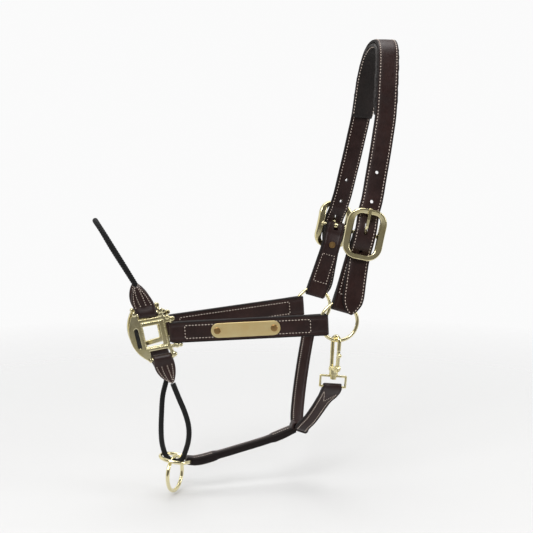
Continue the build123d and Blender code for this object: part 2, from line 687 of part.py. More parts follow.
def snap_loop():
    """The rectangular swivel loop with the eye that the pin turns in."""
    half = LOOP_WIDTH / 2
    top = -1.7
    low = -1.5 - LOOP_DROP
    frame = rod((-half, top, 0), (half, top, 0), LOOP_ROD)
    frame += rod((-half, low, 0), (half, low, 0), LOOP_ROD)
    for side in (-half, half):
        frame += rod((side, top, 0), (side, low, 0), LOOP_ROD)
        frame += Pos(side, top, 0) * Sphere(LOOP_ROD)
        frame += Pos(side, low, 0) * Sphere(LOOP_ROD)
    frame += Pos(0, top, 0) * Rot(90, 0, 0) * Cylinder(4.0, 3.0)
    frame -= Pos(0, top, 0) * Rot(90, 0, 0) * Cylinder(SWIVEL_PIN + 0.06, 12)
    return LOOP * frame


def snap_gate_spring():
    """A small torsion coil on the gate's pin, inside the gate's root."""
    coil = Pos(GATE_PIVOT[0], GATE_PIVOT[1], 0) * (Cylinder(SPRING_OUTER, 1.0) - Cylinder(GATE_PIN + 0.1, 2))
    return SNAP * coil


def main():
    os.makedirs("parts", exist_ok=True)
    save(crown_strap(), "crown_strap")
    save(crown_padding(), "crown_padding")
    near_pieces = {
        "buckle_frame": buckle_frame(),
        "buckle_tongue": buckle_tongue(),
        "cheek_billet": cheek_billet() - rivet_bore(),
        "billet_rivet": billet_rivet(),
        "cheek_ring": ring_at(RING_CENTRE, (0, 1, 0), RING_RADIUS, RING_WIRE),
        "halter_square": halter_square(),
        "square_inlay": square_inlay(),
        "nose_tab": nose_tab(),
        "chin_tab": chin_tab(),
    }
    for name, piece in near_pieces.items():
        save(piece, f"near_{name}")
        save(off_side(piece), f"off_{name}")
    save(off_side(cheek_strap(OFF_CHEEK_LIFT)), "off_cheek_strap")
    strap = cheek_strap(0)
    for bore in plate_rivet_bores():
        strap -= bore
    save(strap, "near_cheek_strap")
    save(name_plate(), "name_plate")
    save(name_plate_rivets(), "name_plate_rivets")
    save(rope(NOSE_ROPE, "nose_rope"), "nose_rope")
    save(rope(CHIN_ROPE, "chin_rope"), "chin_rope")
    save(chin_ring(), "chin_ring")
    save(lead_ring(), "lead_ring")
    save(jaw_strap(), "jaw_strap")
    save(throat_strap(), "throat_strap")
    save(snap_hook(), "snap_hook")
    save(snap_gate(), "snap_gate")
    save(snap_gate_pin(), "snap_gate_pin")
    save(snap_gate_spring(), "snap_gate_spring")
    save(snap_swivel_pin(), "snap_swivel_pin")
    save(snap_loop(), "snap_loop")


main()
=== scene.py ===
import math

import bmesh
import bpy
import numpy as np
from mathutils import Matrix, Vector


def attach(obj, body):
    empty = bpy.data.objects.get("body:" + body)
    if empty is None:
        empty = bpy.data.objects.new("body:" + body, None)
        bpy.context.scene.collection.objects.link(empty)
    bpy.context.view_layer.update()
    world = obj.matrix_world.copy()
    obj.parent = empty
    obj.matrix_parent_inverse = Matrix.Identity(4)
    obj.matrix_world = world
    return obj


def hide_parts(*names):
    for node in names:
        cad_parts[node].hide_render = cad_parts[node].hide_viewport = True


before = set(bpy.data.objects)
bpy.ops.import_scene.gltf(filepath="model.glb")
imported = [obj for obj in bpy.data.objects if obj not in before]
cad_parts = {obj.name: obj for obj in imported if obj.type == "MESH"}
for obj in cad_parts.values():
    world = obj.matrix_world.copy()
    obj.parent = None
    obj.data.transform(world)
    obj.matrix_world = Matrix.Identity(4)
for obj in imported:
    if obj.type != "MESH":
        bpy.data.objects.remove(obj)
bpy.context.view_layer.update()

# Leather headcollar with brass hardware. Lengths are millimetres until make_mesh() turns them into metres;
# material scales, bump distances, voxels and the stage are in metres. +Z is up, +X runs from the nose towards
# the poll and -Y is the near side. The off side mirrors the near one, apart from its cheek strap and holes.
MM = 0.001


def vec(*values):
    return Vector(values[0] if len(values) == 1 else values)


# ---- camera ----
camera_data = bpy.data.cameras.new("camera")
camera_data.lens = 70.79
camera_data.sensor_width = 36.0
camera_data.clip_start = 0.05
camera_data.clip_end = 50.0
camera = bpy.data.objects.new("camera", camera_data)
camera.location = (-0.39877, -1.21257, -0.10664)
camera.rotation_euler = (math.radians(83), 0, math.radians(-12))
bpy.context.scene.collection.objects.link(camera)
bpy.context.scene.camera = camera


# ---- local frames ----
class Axes:
    def __init__(self, origin, x, z):
        self.origin = vec(origin)
        self.x = vec(x).normalized()
        self.z = vec(z).normalized()
        self.y = self.z.cross(self.x)

    def at(self, x, y, z=0.0):
        return self.origin + self.x * x + self.y * y + self.z * z


def buckle_axes():
    lean, turn = math.radians(12.0), math.radians(-10.0)
    across = vec(math.cos(lean) * math.cos(turn), math.sin(turn), -math.sin(lean) * math.cos(turn))
    return Axes((-39.5, -62.5, -216.5), across, across.cross(vec(math.sin(lean), 0, math.cos(lean))))


def square_axes():
    turn, lean = math.radians(12.8), math.radians(11.0)
    level = vec(math.cos(turn), -math.sin(turn), 0)
    out = vec(-math.sin(turn), -math.cos(turn), 0)
    return Axes((-279.0, -19.0, -333.4), level * math.cos(lean) + vec(0, 0, math.sin(lean)), out)


def loop_axes():
    lean = math.radians(4.4)
    up = vec(math.sin(lean), 0, math.cos(lean))
    level = vec(math.cos(math.radians(-12)), math.sin(math.radians(-12)), 0)
    across = (level - up * level.dot(up)).normalized()
    return Axes((-74.2, -60.0, -380.0), across, across.cross(up))


BUCKLE = buckle_axes()
SQUARE = square_axes()
LOOP = loop_axes()
JUNCTION_LEAN = math.radians(21)
JUNCTION = Axes((-100.0, 0.0, -457.0), (math.cos(JUNCTION_LEAN), 0, -math.sin(JUNCTION_LEAN)), (0, 1, 0))
RING_CENTRE = vec(-68.0, -60.0, -318.0)
RING_RADIUS = 22.0
RING_ROOM = 2.3
BAR_ROOM = 2.3
STRAP_WIDTH = 25.0
ROW_STEP = 0.8
THREAD_RADIUS = 0.5
STITCH_SHARE = 0.56


# ---- small maths ----
def hermite(knots, values, slope, at):
    """The cubic curve with the given values and slopes at the knots."""
    i = np.clip(np.searchsorted(knots, at, side="right") - 1, 0, len(knots) - 2)
    h = knots[i + 1] - knots[i]
    u = (at - knots[i]) / h
    if values.ndim > 1:
        u, h = u[:, None], h[:, None]
    return ((2 * u**3 - 3 * u**2 + 1) * values[i] + (u**3 - 2 * u**2 + u) * h * slope[i]
            + (3 * u**2 - 2 * u**3) * values[i + 1] + (u**3 - u**2) * h * slope[i + 1])


def catmull(knots, values, at):
    """Catmull-Rom through rows of values at the knots."""
    knots, values = np.asarray(knots, float), np.asarray(values, float)
    slope = np.zeros_like(values)
    slope[1:-1] = (values[2:] - values[:-2]) / (knots[2:] - knots[:-2])[:, None]
    slope[0] = (values[1] - values[0]) / (knots[1] - knots[0])
    slope[-1] = (values[-1] - values[-2]) / (knots[-1] - knots[-2])
    return hermite(knots, values, slope, at)


def eased(knots, values, at):
    """Monotone easing from value to value, without overshoot."""
    knots, values = np.asarray(knots, float), np.asarray(values, float)
    rise = np.diff(values) / np.diff(knots)
    slope = np.zeros_like(values)
    same = rise[:-1] * rise[1:] > 0
    slope[1:-1][same] = 2 * rise[:-1][same] * rise[1:][same] / (rise[:-1] + rise[1:])[same]
    return hermite(knots, values, slope, at)


def unit(rows):
    return rows / np.maximum(np.linalg.norm(rows, axis=1, keepdims=True), 1e-9)


def arc_through(a, b, c, count):
    """Points on the circle arc from a through b to c, in a plane."""
    (ax, ay), (bx, by), (cx, cy) = a, b, c
    d = 2 * (ax * (by - cy) + bx * (cy - ay) + cx * (ay - by))
    ux = ((ax**2 + ay**2) * (by - cy) + (bx**2 + by**2) * (cy - ay) + (cx**2 + cy**2) * (ay - by)) / d
    uy = ((ax**2 + ay**2) * (cx - bx) + (bx**2 + by**2) * (ax - cx) + (cx**2 + cy**2) * (bx - ax)) / d
    angles = [math.atan2(y - uy, x - ux) for x, y in (a, b, c)]
    for k in (1, 2):
        while angles[k] - angles[k - 1] > math.pi:
            angles[k] -= 2 * math.pi
        while angles[k] - angles[k - 1] < -math.pi:
            angles[k] += 2 * math.pi
    radius = math.hypot(ax - ux, ay - uy)
    sweep = np.linspace(angles[0], angles[2], count)
    return np.stack([ux + radius * np.cos(sweep), uy + radius * np.sin(sweep)], 1)


def respaced(points, count):
    """The same line with evenly spaced points."""
    points = np.asarray(points, float)
    run = run_of(points)
    at = np.linspace(0, run[-1], count)
    return np.stack([np.interp(at, run, points[:, k]) for k in range(points.shape[1])], 1)


def run_of(points):
    """Length along a line of points at each of them."""
    return np.concatenate([[0], np.cumsum(np.linalg.norm(np.diff(points, axis=0), axis=1))])


def read_off(s, run, rows):
    """The rows along a line, interpolated at the length s."""
    return np.array([np.interp(s, run, rows[:, k]) for k in range(3)])


def parted(pairs):
    """(place, outward direction) pairs as two arrays."""
    return np.array([list(p) for p, _ in pairs], float), np.array([list(o) for _, o in pairs], float)


# ---- meshes ----
def tube_faces(base, rings, sides):
    """Faces of a capped tube whose rings of vertices start at base."""
    faces = []
    for i in range(rings - 1):
        low, top = base + i * sides, base + (i + 1) * sides
        faces += [(low + j, low + (j + 1) % sides, top + (j + 1) % sides, top + j) for j in range(sides)]
    faces.append(tuple(base + j for j in reversed(range(sides))))
    faces.append(tuple(base + (rings - 1) * sides + j for j in range(sides)))
    return faces


def hoop_faces(rings, sides):
    """Faces of a tube that closes on itself."""
    faces = []
    for i in range(rings):
        for j in range(sides):
            n, m = (i + 1) % rings, (j + 1) % sides
            faces.append((i * sides + j, n * sides + j, n * sides + m, i * sides + m))
    return faces


def make_mesh(name, verts, faces, materials, indices=None, off=False, crease=40.0):
    """An object from millimetre vertices; off mirrors it to the off side."""
    verts = np.array(verts, float) * MM
    if off:
        verts[:, 1] *= -1
        faces = [tuple(reversed(f)) for f in faces]
    mesh = bpy.data.meshes.new(name)
    mesh.from_pydata([tuple(v) for v in verts], [], [tuple(f) for f in faces])
    for material in materials:
        mesh.materials.append(material)
    if indices is not None:
        mesh.polygons.foreach_set("material_index", np.asarray(indices, np.int32))
    turned = bmesh.new()
    turned.from_mesh(mesh)
    bmesh.ops.recalc_face_normals(turned, faces=turned.faces)
    if turned.calc_volume(signed=True) < 0:
        bmesh.ops.reverse_faces(turned, faces=turned.faces)
    turned.to_mesh(mesh)
    turned.free()
    mesh.update()
    finish_shading(mesh, crease)
    obj = bpy.data.objects.new(name, mesh)
    bpy.context.scene.collection.objects.link(obj)
    return obj


def finish_shading(mesh, crease):
    mesh.polygons.foreach_set("use_smooth", [True] * len(mesh.polygons))
    mesh.set_sharp_from_angle(angle=math.radians(crease))


def applied(obj, crease=40.0):
    """Puts an object's modifiers into its mesh."""
    graph = bpy.context.evaluated_depsgraph_get()
    mesh = bpy.data.meshes.new_from_object(obj.evaluated_get(graph))
    old = obj.data
    obj.modifiers.clear()
    obj.data = mesh
    bpy.data.meshes.remove(old)
    if crease is not None:
        finish_shading(mesh, crease)
    return obj


def carved(obj, cutters, crease=40.0):
    """The object less its cutters."""
    for cutter in cutters:
        boolean = obj.modifiers.new("carve", "BOOLEAN")
        boolean.operation = "DIFFERENCE"
        boolean.solver = "EXACT"
        boolean.object = cutter
        applied(obj, crease)
    for cutter in cutters:
        bpy.data.objects.remove(cutter)
    return obj


def cutter_prism(verts, off=False):
    """A cutter between two like outlines, given one after the other."""
    return make_mesh("cutter", verts, tube_faces(0, 2, len(verts) // 2), [], off=off)


def cutter_rod(start, end, radius, off=False, count=28):
    """A plain round cutter between two points."""
    start, end = vec(start), vec(end)
    axis = (end - start).normalized()
    side = axis.orthogonal().normalized()
    other = axis.cross(side)
    angles = [2 * math.pi * k / count for k in range(count)]
    verts = [p + (side * math.cos(a) + other * math.sin(a)) * radius for p in (start, end) for a in angles]
    return cutter_prism(verts, off)


def cutter_box(axes, wide, tall, deep, off=False):
    """A box cutter from half sizes along an axes' x, y and z."""
    corners = ((-wide, -tall), (wide, -tall), (wide, tall), (-wide, tall))
    return cutter_prism([axes.at(x, y, z) for z in (-deep, deep) for x, y in corners], off)


def cutter_slot(axes, up, width, length, deep, off=False, count=14):
    """An oblong cutter that starts on an axes' plane, its length along y."""
    half = (length - width) / 2
    outline = []
    for start, shift in ((0, half), (math.pi, -half)):
        for k in range(count + 1):
            a = start + math.pi * k / count
            outline.append((math.cos(a) * width / 2, up + shift + math.sin(a) * width / 2))
    return cutter_prism([axes.at(x, y, z) for z in (0.0, deep) for x, y in outline], off)


def cutter_ring(centre, normal, radius, wire, off=False, around=120, across=16):
    """A torus cutter."""
    normal = vec(normal).normalized()
    side = normal.orthogonal().normalized()
    other = normal.cross(side)
    verts = []
    for i in range(around):
        a = 2 * math.pi * i / around
        out = side * math.cos(a) + other * math.sin(a)
        for j in range(across):
            b = 2 * math.pi * j / across
            verts.append(vec(centre) + out * (radius + wire * math.cos(b)) + normal * wire * math.sin(b))
    return make_mesh("cutter", verts, hoop_faces(around, across), [], off=off)


def cheek_ring_cutter(off):
    return cutter_ring(RING_CENTRE, (0, 1, 0), RING_RADIUS, RING_ROOM, off=off)


# ---- straps ----
class Strap:
    """A strap along smooth stations of (centre, across, width, thickness[, corner radius])."""

    def __init__(self, stations, ends=(0.8, 0.8), step=1.1, corner=1.15, plies=2, groove=3.6, swell=0.22):
        centres, across = parted([s[:2] for s in stations])
        run = run_of(centres)
        fine = np.linspace(0, run[-1], 4000)
        length = run_of(catmull(run, centres, fine))
        self.length = length[-1]
        knot_at = np.interp(run, fine, length)
        inner = np.linspace(0, self.length, max(int(self.length / step), 8))
        first = ends[0] * (1 - np.cos(np.linspace(0, math.pi / 2, 9)))
        last = self.length - ends[1] * (1 - np.cos(np.linspace(math.pi / 2, 0, 9)))
        inner = inner[(inner > ends[0] * 1.02 + 0.2) & (inner < self.length - ends[1] * 1.02 - 0.2)]
        self.s = np.concatenate([first, inner, last])
        at = np.interp(self.s, length, fine)
        self.centre = catmull(run, centres, at)
        tangent = unit(np.gradient(self.centre, self.s + np.arange(len(self.s)) * 1e-9, axis=0))
        lay = unit(catmull(knot_at, unit(across), self.s))
        self.normal = unit(np.cross(lay, tangent))
        self.across = unit(np.cross(tangent, self.normal))
        self.width = eased(knot_at, [s[2] for s in stations], self.s)
        self.thick = eased(knot_at, [s[3] for s in stations], self.s)
        corners = [s[4] if len(s) > 4 else corner for s in stations]
        self.corner = eased(knot_at, corners, self.s)
        self.ends = ends
        self.plies = plies
        self.groove = groove
        self.swell = swell
        inset_first = np.clip(self.s / ends[0], 0, 1)
        inset_last = np.clip((self.length - self.s) / ends[1], 0, 1)
        round_first = np.sqrt(np.clip(1 - (1 - inset_first) ** 2, 0, 1))
        round_last = np.sqrt(np.clip(1 - (1 - inset_last) ** 2, 0, 1))
        self.round = np.minimum(round_first, round_last)

    def profile(self, k):
        """Closed outline of (across, out, part); part 1 is the cut edge."""
        half, out = self.width[k] / 2, self.thick[k] / 2
        loss = (1 - self.round[k]) * min(max(self.ends), out)
        half, out = half - min(loss, 0.8), max(out - loss, 0.04)
        full = min(1.0, out / 1.6)
        r = min(self.corner[k], out * (0.96 if self.plies < 3 else 0.6), half * 0.45)
        g = max(min(self.groove, half * 0.6), r + 0.15)
        line, flat = half - g, half - r
        near = min(0.55, (g - r) * 0.45)
        dip = 0.2 * full if self.groove < 90 and half > 5 else 0.0
        spread = [(0, 0), (line * 0.3, 0), (line * 0.62, 0), (line - near, 0), (line, dip), (line + near, 0),
                  (flat, 0)]
        spread = [(-v, sunk) for v, sunk in spread[:0:-1]] + spread
        top = []
        for v, sunk in spread:
            raise_by = self.swell * max(0.0, 1 - (v / max(line, 0.5)) ** 2) * full
            top.append((v, out - sunk + raise_by, 0))

        def bend(degrees, level):
            a = math.radians(degrees)
            return flat + r * math.cos(a), level + r * math.sin(a), 1

        right = [bend(a, out - r) for a in (65, 42, 20)]
        for p in range(self.plies - 1):
            w = out - 2 * out * (p + 1) / self.plies
            lip = 0.28 * full
            right += [(half - 0.02, w + lip, 1), (half - 0.26 * full, w, 1), (half - 0.02, w - lip, 1)]
        right += [bend(a, r - out) for a in (-20, -42, -65)]
        points = top + right
        points += [(-v, -w, 0) for v, w, _ in top]
        points += [(-v, -w, 1) for v, w, _ in right]
        return points

    def build(self, name, materials, off=False):
        count = len(self.s)
        outlines = [self.profile(k) for k in range(count)]
        parts = [part for _, _, part in outlines[0]]
        verts = [self.centre[k] + self.across[k] * v + self.normal[k] * w
                 for k in range(count) for v, w, _ in outlines[k]]
        faces = [tuple(reversed(f)) for f in tube_faces(0, count, len(parts))]
        edge = [int(part or after) for part, after in zip(parts, parts[1:] + parts[:1])]
        return make_mesh(name, verts, faces, materials, edge * (count - 1) + [1, 1], off=off)

    def cut_out(self, name, node, cutters, off=False):
        """The strap's own piece, less its cutters, in place of its CAD node."""
        piece = carved(self.build(name, SKINS, off), cutters)
        settle(piece, "head_straps", [node])

    def at(self, s):
        """Centre, across and normal at a length."""
        return [read_off(s, self.s, rows) for rows in (self.centre, self.across, self.normal)]

    def on(self, s, v, side=1, lift=0.0):
        """Place and outward direction on a face of the strap; side -1 is the inner face."""
        place, across, normal = self.at(s)
        out = np.interp(s, self.s, self.thick) / 2
        return place + across * v + normal * side * (out + lift), normal * side

    def row(self, line, side=1):
        """A stitch row along (s, v) points."""
        length = sum(math.dist(a, b) for a, b in zip(line, line[1:]))
        line = respaced(line, max(int(length / ROW_STEP), 2))
        return parted([self.on(s, v, side) for s, v in line])

    def edge_row(self, start, end, sign, inset, side=1):
        """A stitch row that keeps its distance from one edge."""
        at = np.arange(start, end, ROW_STEP)
        width = np.interp(at, self.s, self.width)
        return parted([self.on(s, sign * max(w / 2 - inset, 0.0), side) for s, w in zip(at, width)])

    def box_rows(self, start, end, v):
        """A stitched box on both faces."""
        box = [(start, -v), (start, v), (end, v), (end, -v), (start, -v)]
        return [self.row(box, side) for side in (1, -1)]


def stitch_mesh(name, rows, off, pitch):
    """Separate stitches along rows of (points, outward directions), each diving into the leather."""
    verts, faces = [], []
    rings, sides = 7, 7
    for points, outs in rows:
        run = run_of(points)
        count = max(int(round(run[-1] / pitch)), 1)
        spacing = run[-1] / count
        for k in range(count):
            middle = (k + 0.5) * spacing
            faces += tube_faces(len(verts), rings, sides)
            for i in range(rings):
                u = -1 + 2 * i / (rings - 1)
                s = middle + u * spacing * STITCH_SHARE / 2
                place, out = read_off(s, run, points), read_off(s, run, outs)
                along = read_off(s + 0.3, run, points) - read_off(s - 0.3, run, points)
                along = along / max(np.linalg.norm(along), 1e-9)
                side = np.cross(out, along)
                side = side / max(np.linalg.norm(side), 1e-9)
                thin = THREAD_RADIUS * (0.35 + 0.65 * math.sqrt(max(1 - u**4, 0)))
                rise = 0.16 - 0.42 * u**4
                for j in range(sides):
                    a = 2 * math.pi * j / sides
                    up = rise + thin * 0.8 * math.sin(a)
                    verts.append(place + side * thin * math.cos(a) + out * up)
    return make_mesh(name, verts, faces, [THREAD], off=off, crease=80)


def sew(name, rows, off=False, pitch=3.7):
    settle(stitch_mesh(name, rows, off, pitch), "head_straps")


# ---- materials ----
class Nodes:
    """The emptied node tree of a material or a world."""

    def __init__(self, owner):
        owner.use_nodes = True
        self.owner = owner
        self.tree = owner.node_tree
        self.tree.nodes.clear()

    def node(self, kind, settings=(), **inputs):
        made = self.tree.nodes.new(kind)
        for key, value in dict(settings).items():
            setattr(made, key, value)
        for key, value in inputs.items():
            self.put(made.inputs[key.replace("_", " ")], value)
        return made

    def put(self, socket, value):
        if isinstance(value, bpy.types.NodeSocket):
            self.tree.links.new(value, socket)
        else:
            socket.default_value = value

    def ramp(self, value, stops):
        made = self.node("ShaderNodeValToRGB", Fac=value)
        elements = made.color_ramp.elements
        for place, _ in stops[1:-1]:
            elements.new(place)
        for element, (place, colour) in zip(elements, stops):
            element.position = place
            element.color = (*colour, 1)
        return made.outputs[0]

    def span(self, value, low, high, start=0.0, end=1.0):
        made = self.node("ShaderNodeMapRange")
        for socket, item in zip(made.inputs, (value, low, high, start, end)):
            self.put(socket, item)
        return made.outputs[0]

    def mixed(self, share, first, second):
        made = self.node("ShaderNodeMixShader")
        for socket, item in zip(made.inputs, (share, first.outputs[0], second.outputs[0])):
            self.put(socket, item)
        return made.outputs[0]


class Surface(Nodes):
    """A new material with its Principled shader."""

    def __init__(self, name):
        super().__init__(bpy.data.materials.new(name))
        self.shader = self.node("ShaderNodeBsdfPrincipled")
        self.out = self.node("ShaderNodeOutputMaterial", Surface=self.shader.outputs[0])
        self.coords = self.node("ShaderNodeTexCoord").outputs["Object"]

    def noise(self, scale, detail=3.0, rough=0.55, coords=None):
        return self.node("ShaderNodeTexNoise", Vector=coords or self.coords, Scale=scale, Detail=detail,
                         Roughness=rough).outputs[0]

    def cells(self, scale, feature):
        return self.node("ShaderNodeTexVoronoi", {"feature": feature}, Vector=self.coords,
                         Scale=scale).outputs[0]

    def stretched(self, x, y, z, turn=0.0):
        return self.node("ShaderNodeMapping", Vector=self.coords, Rotation=(0.0, 0.0, turn),
                         Scale=(x, y, z)).outputs[0]

    def maths(self, kind, first, second):
        made = self.node("ShaderNodeMath", {"operation": kind})
        self.put(made.inputs[0], first)
        self.put(made.inputs[1], second)
        return made.outputs[0]

    def bump(self, height, strength, distance, **before):
        return self.node("ShaderNodeBump", Height=height, Strength=strength, Distance=distance,
                         **before).outputs[0]

    def set(self, **inputs):
        for key, value in inputs.items():
            self.put(self.shader.inputs[key.replace("_", " ")], value)
        return self.owner


def leather(name, dark, mid, light, rough=(0.34, 0.5), grain=1.0, coat=0.12):
    """Smooth finished leather: fine pores and creases, uneven dye, a waxed sheen."""
    n = Surface(name)
    dye = n.noise(38.0, 5.0, 0.6)
    mottle = n.noise(260.0, 3.0, 0.6)
    both = n.maths("ADD", n.maths("MULTIPLY", dye, 0.7), n.maths("MULTIPLY", mottle, 0.3))
    colour = n.ramp(both, [(0.34, dark), (0.52, mid), (0.7, light)])
    pores = n.cells(1450.0, "F1")
    creases = n.span(n.cells(620.0, "DISTANCE_TO_EDGE"), 0.0, 0.16)
    fine = n.noise(2600.0, 2.0, 0.6)
    height = n.maths("ADD", n.maths("MULTIPLY", pores, 0.5), n.maths("MULTIPLY", creases, 0.5))
    height = n.maths("ADD", height, n.maths("MULTIPLY", fine, 0.35))
    waves = n.bump(n.noise(90.0, 2.0, 0.5), 0.35, 0.0006)
    normal = n.bump(height, 0.22 * grain, 0.00016, Normal=waves)
    gloss = n.span(n.noise(120.0, 4.0, 0.65), 0.3, 0.72, rough[0], rough[1])
    return n.set(Base_Color=colour, Roughness=gloss, Normal=normal, Coat_Weight=coat, Coat_Roughness=0.28,
                 Specular_IOR_Level=0.36)


def cut_edge(name, dark, mid):
    """Burnished and inked leather edge, with fine fibres."""
    n = Surface(name)
    streaks = n.noise(420.0, 5.0, 0.7)
    colour = n.ramp(streaks, [(0.35, dark), (0.7, mid)])
    normal = n.bump(n.noise(1500.0, 4.0, 0.7), 0.3, 0.0002)
    return n.set(Base_Color=colour, Roughness=n.span(streaks, 0.3, 0.7, 0.46, 0.66), Normal=normal,
                 Specular_IOR_Level=0.22)


def brass(name, low, high, rough=(0.1, 0.22), scratch=0.1, pits=0.0):
    """Polished cast brass: faint colour drift, hairline scratches, slight orange peel."""
    n = Surface(name)
    drift = n.noise(55.0, 3.0, 0.6)
    colour = n.ramp(drift, [(0.3, low), (0.7, high)])
    hair = n.noise(300.0, 4.0, 0.7, n.stretched(1.0, 9.0, 0.35))
    peel = n.noise(420.0, 2.0, 0.5)
    dents = n.bump(peel, 0.06 + pits, 0.0003)
    normal = n.bump(hair, scratch, 0.00008, Normal=dents)
    gloss = n.span(n.noise(170.0, 5.0, 0.7), 0.3, 0.75, rough[0], rough[1])
    return n.set(Base_Color=colour, Metallic=1.0, Roughness=gloss, Normal=normal)


def brushed(name, low, high, angle):
    """Satin brass sheet, brushed lengthways."""
    n = Surface(name)
    lines = n.noise(1.0, 4.0, 0.7, n.stretched(14.0, 120.0, 2400.0, angle))
    colour = n.ramp(n.noise(60.0, 3.0, 0.5), [(0.3, low), (0.7, high)])
    normal = n.bump(lines, 0.12, 0.00006)
    gloss = n.span(lines, 0.3, 0.7, 0.36, 0.5)
    return n.set(Base_Color=colour, Metallic=1.0, Roughness=gloss, Normal=normal)


LEATHER = leather("dark_brown_leather", (0.015, 0.0056, 0.0048), (0.025, 0.0096, 0.0082),
                  (0.038, 0.0155, 0.0132), rough=(0.36, 0.52), coat=0.06)
LINING = leather("lining_leather", (0.010, 0.0075, 0.0070), (0.016, 0.0115, 0.0105), (0.024, 0.017, 0.016),
                 rough=(0.45, 0.62), grain=1.5, coat=0.04)
EDGE = cut_edge("inked_edge", (0.005, 0.0030, 0.0028), (0.013, 0.0072, 0.0066))
BRASS = brass("polished_brass", (0.82, 0.72, 0.38), (0.92, 0.85, 0.56))
ANTIQUE = brass("antique_brass", (0.30, 0.17, 0.065), (0.62, 0.40, 0.17),
                rough=(0.26, 0.42), scratch=0.3, pits=0.3)
PLATE = brushed("satin_brass", (0.96, 0.73, 0.34), (1.0, 0.84, 0.46), 0.2)


def thread_material():
    n = Surface("waxed_thread")
    twist = n.noise(900.0, 2.0, 0.5, n.stretched(1.0, 1.0, 3.0))
    colour = n.ramp(n.noise(300.0, 3.0, 0.6), [(0.3, (0.56, 0.45, 0.37)), (0.7, (0.78, 0.68, 0.60))])
    return n.set(Base_Color=colour, Roughness=0.62, Normal=n.bump(twist, 0.5, 0.0002), Sheen_Weight=0.2)


def rope_material():
    n = Surface("braided_cord")
    strands = n.noise(1500.0, 3.0, 0.6, n.stretched(1.0, 1.0, 0.5))
    colour = n.ramp(strands, [(0.3, (0.0025, 0.0025, 0.0028)), (0.75, (0.013, 0.0125, 0.013))])
    return n.set(Base_Color=colour, Roughness=n.span(strands, 0.3, 0.7, 0.5, 0.72),
                 Normal=n.bump(strands, 0.5, 0.00025), Sheen_Weight=0.06, Sheen_Roughness=0.5,
                 Specular_IOR_Level=0.25)


def enamel_material():
    n = Surface("black_enamel")
    colour = n.ramp(n.noise(300.0, 2.0), [(0.3, (0.006, 0.006, 0.006)), (0.7, (0.016, 0.015, 0.014))])
    gloss = n.span(n.noise(500.0, 3.0), 0.3, 0.7, 0.12, 0.24)
    return n.set(Base_Color=colour, Roughness=gloss, Coat_Weight=0.5, Coat_Roughness=0.08,
                 Normal=n.bump(n.noise(700.0, 2.0), 0.1, 0.0001))


def steel_material():
    n = Surface("spring_steel")
    colour = n.ramp(n.noise(400.0, 3.0), [(0.3, (0.42, 0.42, 0.43)), (0.7, (0.6, 0.6, 0.6))])
    gloss = n.span(n.noise(600.0, 3.0), 0.3, 0.7, 0.2, 0.34)
    return n.set(Base_Color=colour, Metallic=1.0, Roughness=gloss)


THREAD = thread_material()
ROPE = rope_material()
ENAMEL = enamel_material()
STEEL = steel_material()
SKINS = [LEATHER, EDGE]


def settle(obj, body, nodes=()):
    """Rides and stands for its CAD nodes."""
    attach(obj, body)
    if nodes:
        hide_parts(*nodes)
    return obj


# ---- ropes ----
NOSE_ROPE = [
    (-297.9, -14.4, -274.6), (-308.0, -22.0, -257.0), (-321.0, -28.0, -235.0), (-334.0, -26.0, -213.0),
    (-341.5, -12.0, -201.0), (-341.5, 12.0, -201.0), (-334.0, 26.0, -213.0), (-321.5, 28.5, -236.0),
    (-308.0, 22.0, -258.0), (-297.9, 14.4, -274.6),
]
CHIN_ROPE = [
    (-257.2, -24.0, -390.3), (-251.0, -26.0, -407.0), (-243.5, -27.5, -425.0), (-239.0, -27.0, -443.0),
    (-239.0, -20.5, -461.0), (-241.5, -10.0, -476.0), (-245.8, -6.2, -490.1),
    (-261.0, 3.4, -490.1), (-267.0, 8.4, -475.0), (-267.5, 18.0, -460.0), (-266.0, 23.5, -440.0),
    (-264.5, 25.5, -418.0), (-261.0, 25.0, -403.0), (-257.2, 24.0, -390.3),
]
CORE_RADIUS = 2.05
BRAID_RADIUS = 2.4
BRAID_WEAVE = 0.34
BRAID_WAYS = 6
BRAID_PITCH = 19.0


def spline_line(points):
    """The smooth line of a rope's route, in millimetres."""
    curve = bpy.data.curves.new("route", "CURVE")
    curve.dimensions = "3D"
    curve.resolution_u = 24
    spline = curve.splines.new("NURBS")
    spline.points.add(len(points) - 1)
    for point, place in zip(spline.points, points):
        point.co = (*[c * MM for c in place], 1.0)
    spline.order_u = 3
    spline.use_endpoint_u = True
    obj = bpy.data.objects.new("route", curve)
    bpy.context.scene.collection.objects.link(obj)
    bpy.context.view_layer.update()
    mesh = bpy.data.meshes.new_from_object(obj)
    line = np.array([v.co for v in mesh.vertices], float) / MM
    bpy.data.objects.remove(obj)
    bpy.data.meshes.remove(mesh)
    return line


def carried_frames(line):
    """Tangent and two side directions carried along a line without twist."""
    tangent = unit(np.gradient(line, axis=0))
    side = np.zeros_like(line)
    first = np.cross(tangent[0], (0, 0, 1))
    side[0] = first / np.linalg.norm(first)
    for k in range(1, len(line)):
        carried = side[k - 1] - tangent[k] * np.dot(side[k - 1], tangent[k])
        side[k] = carried / np.linalg.norm(carried)
    return tangent, side, np.cross(tangent, side)


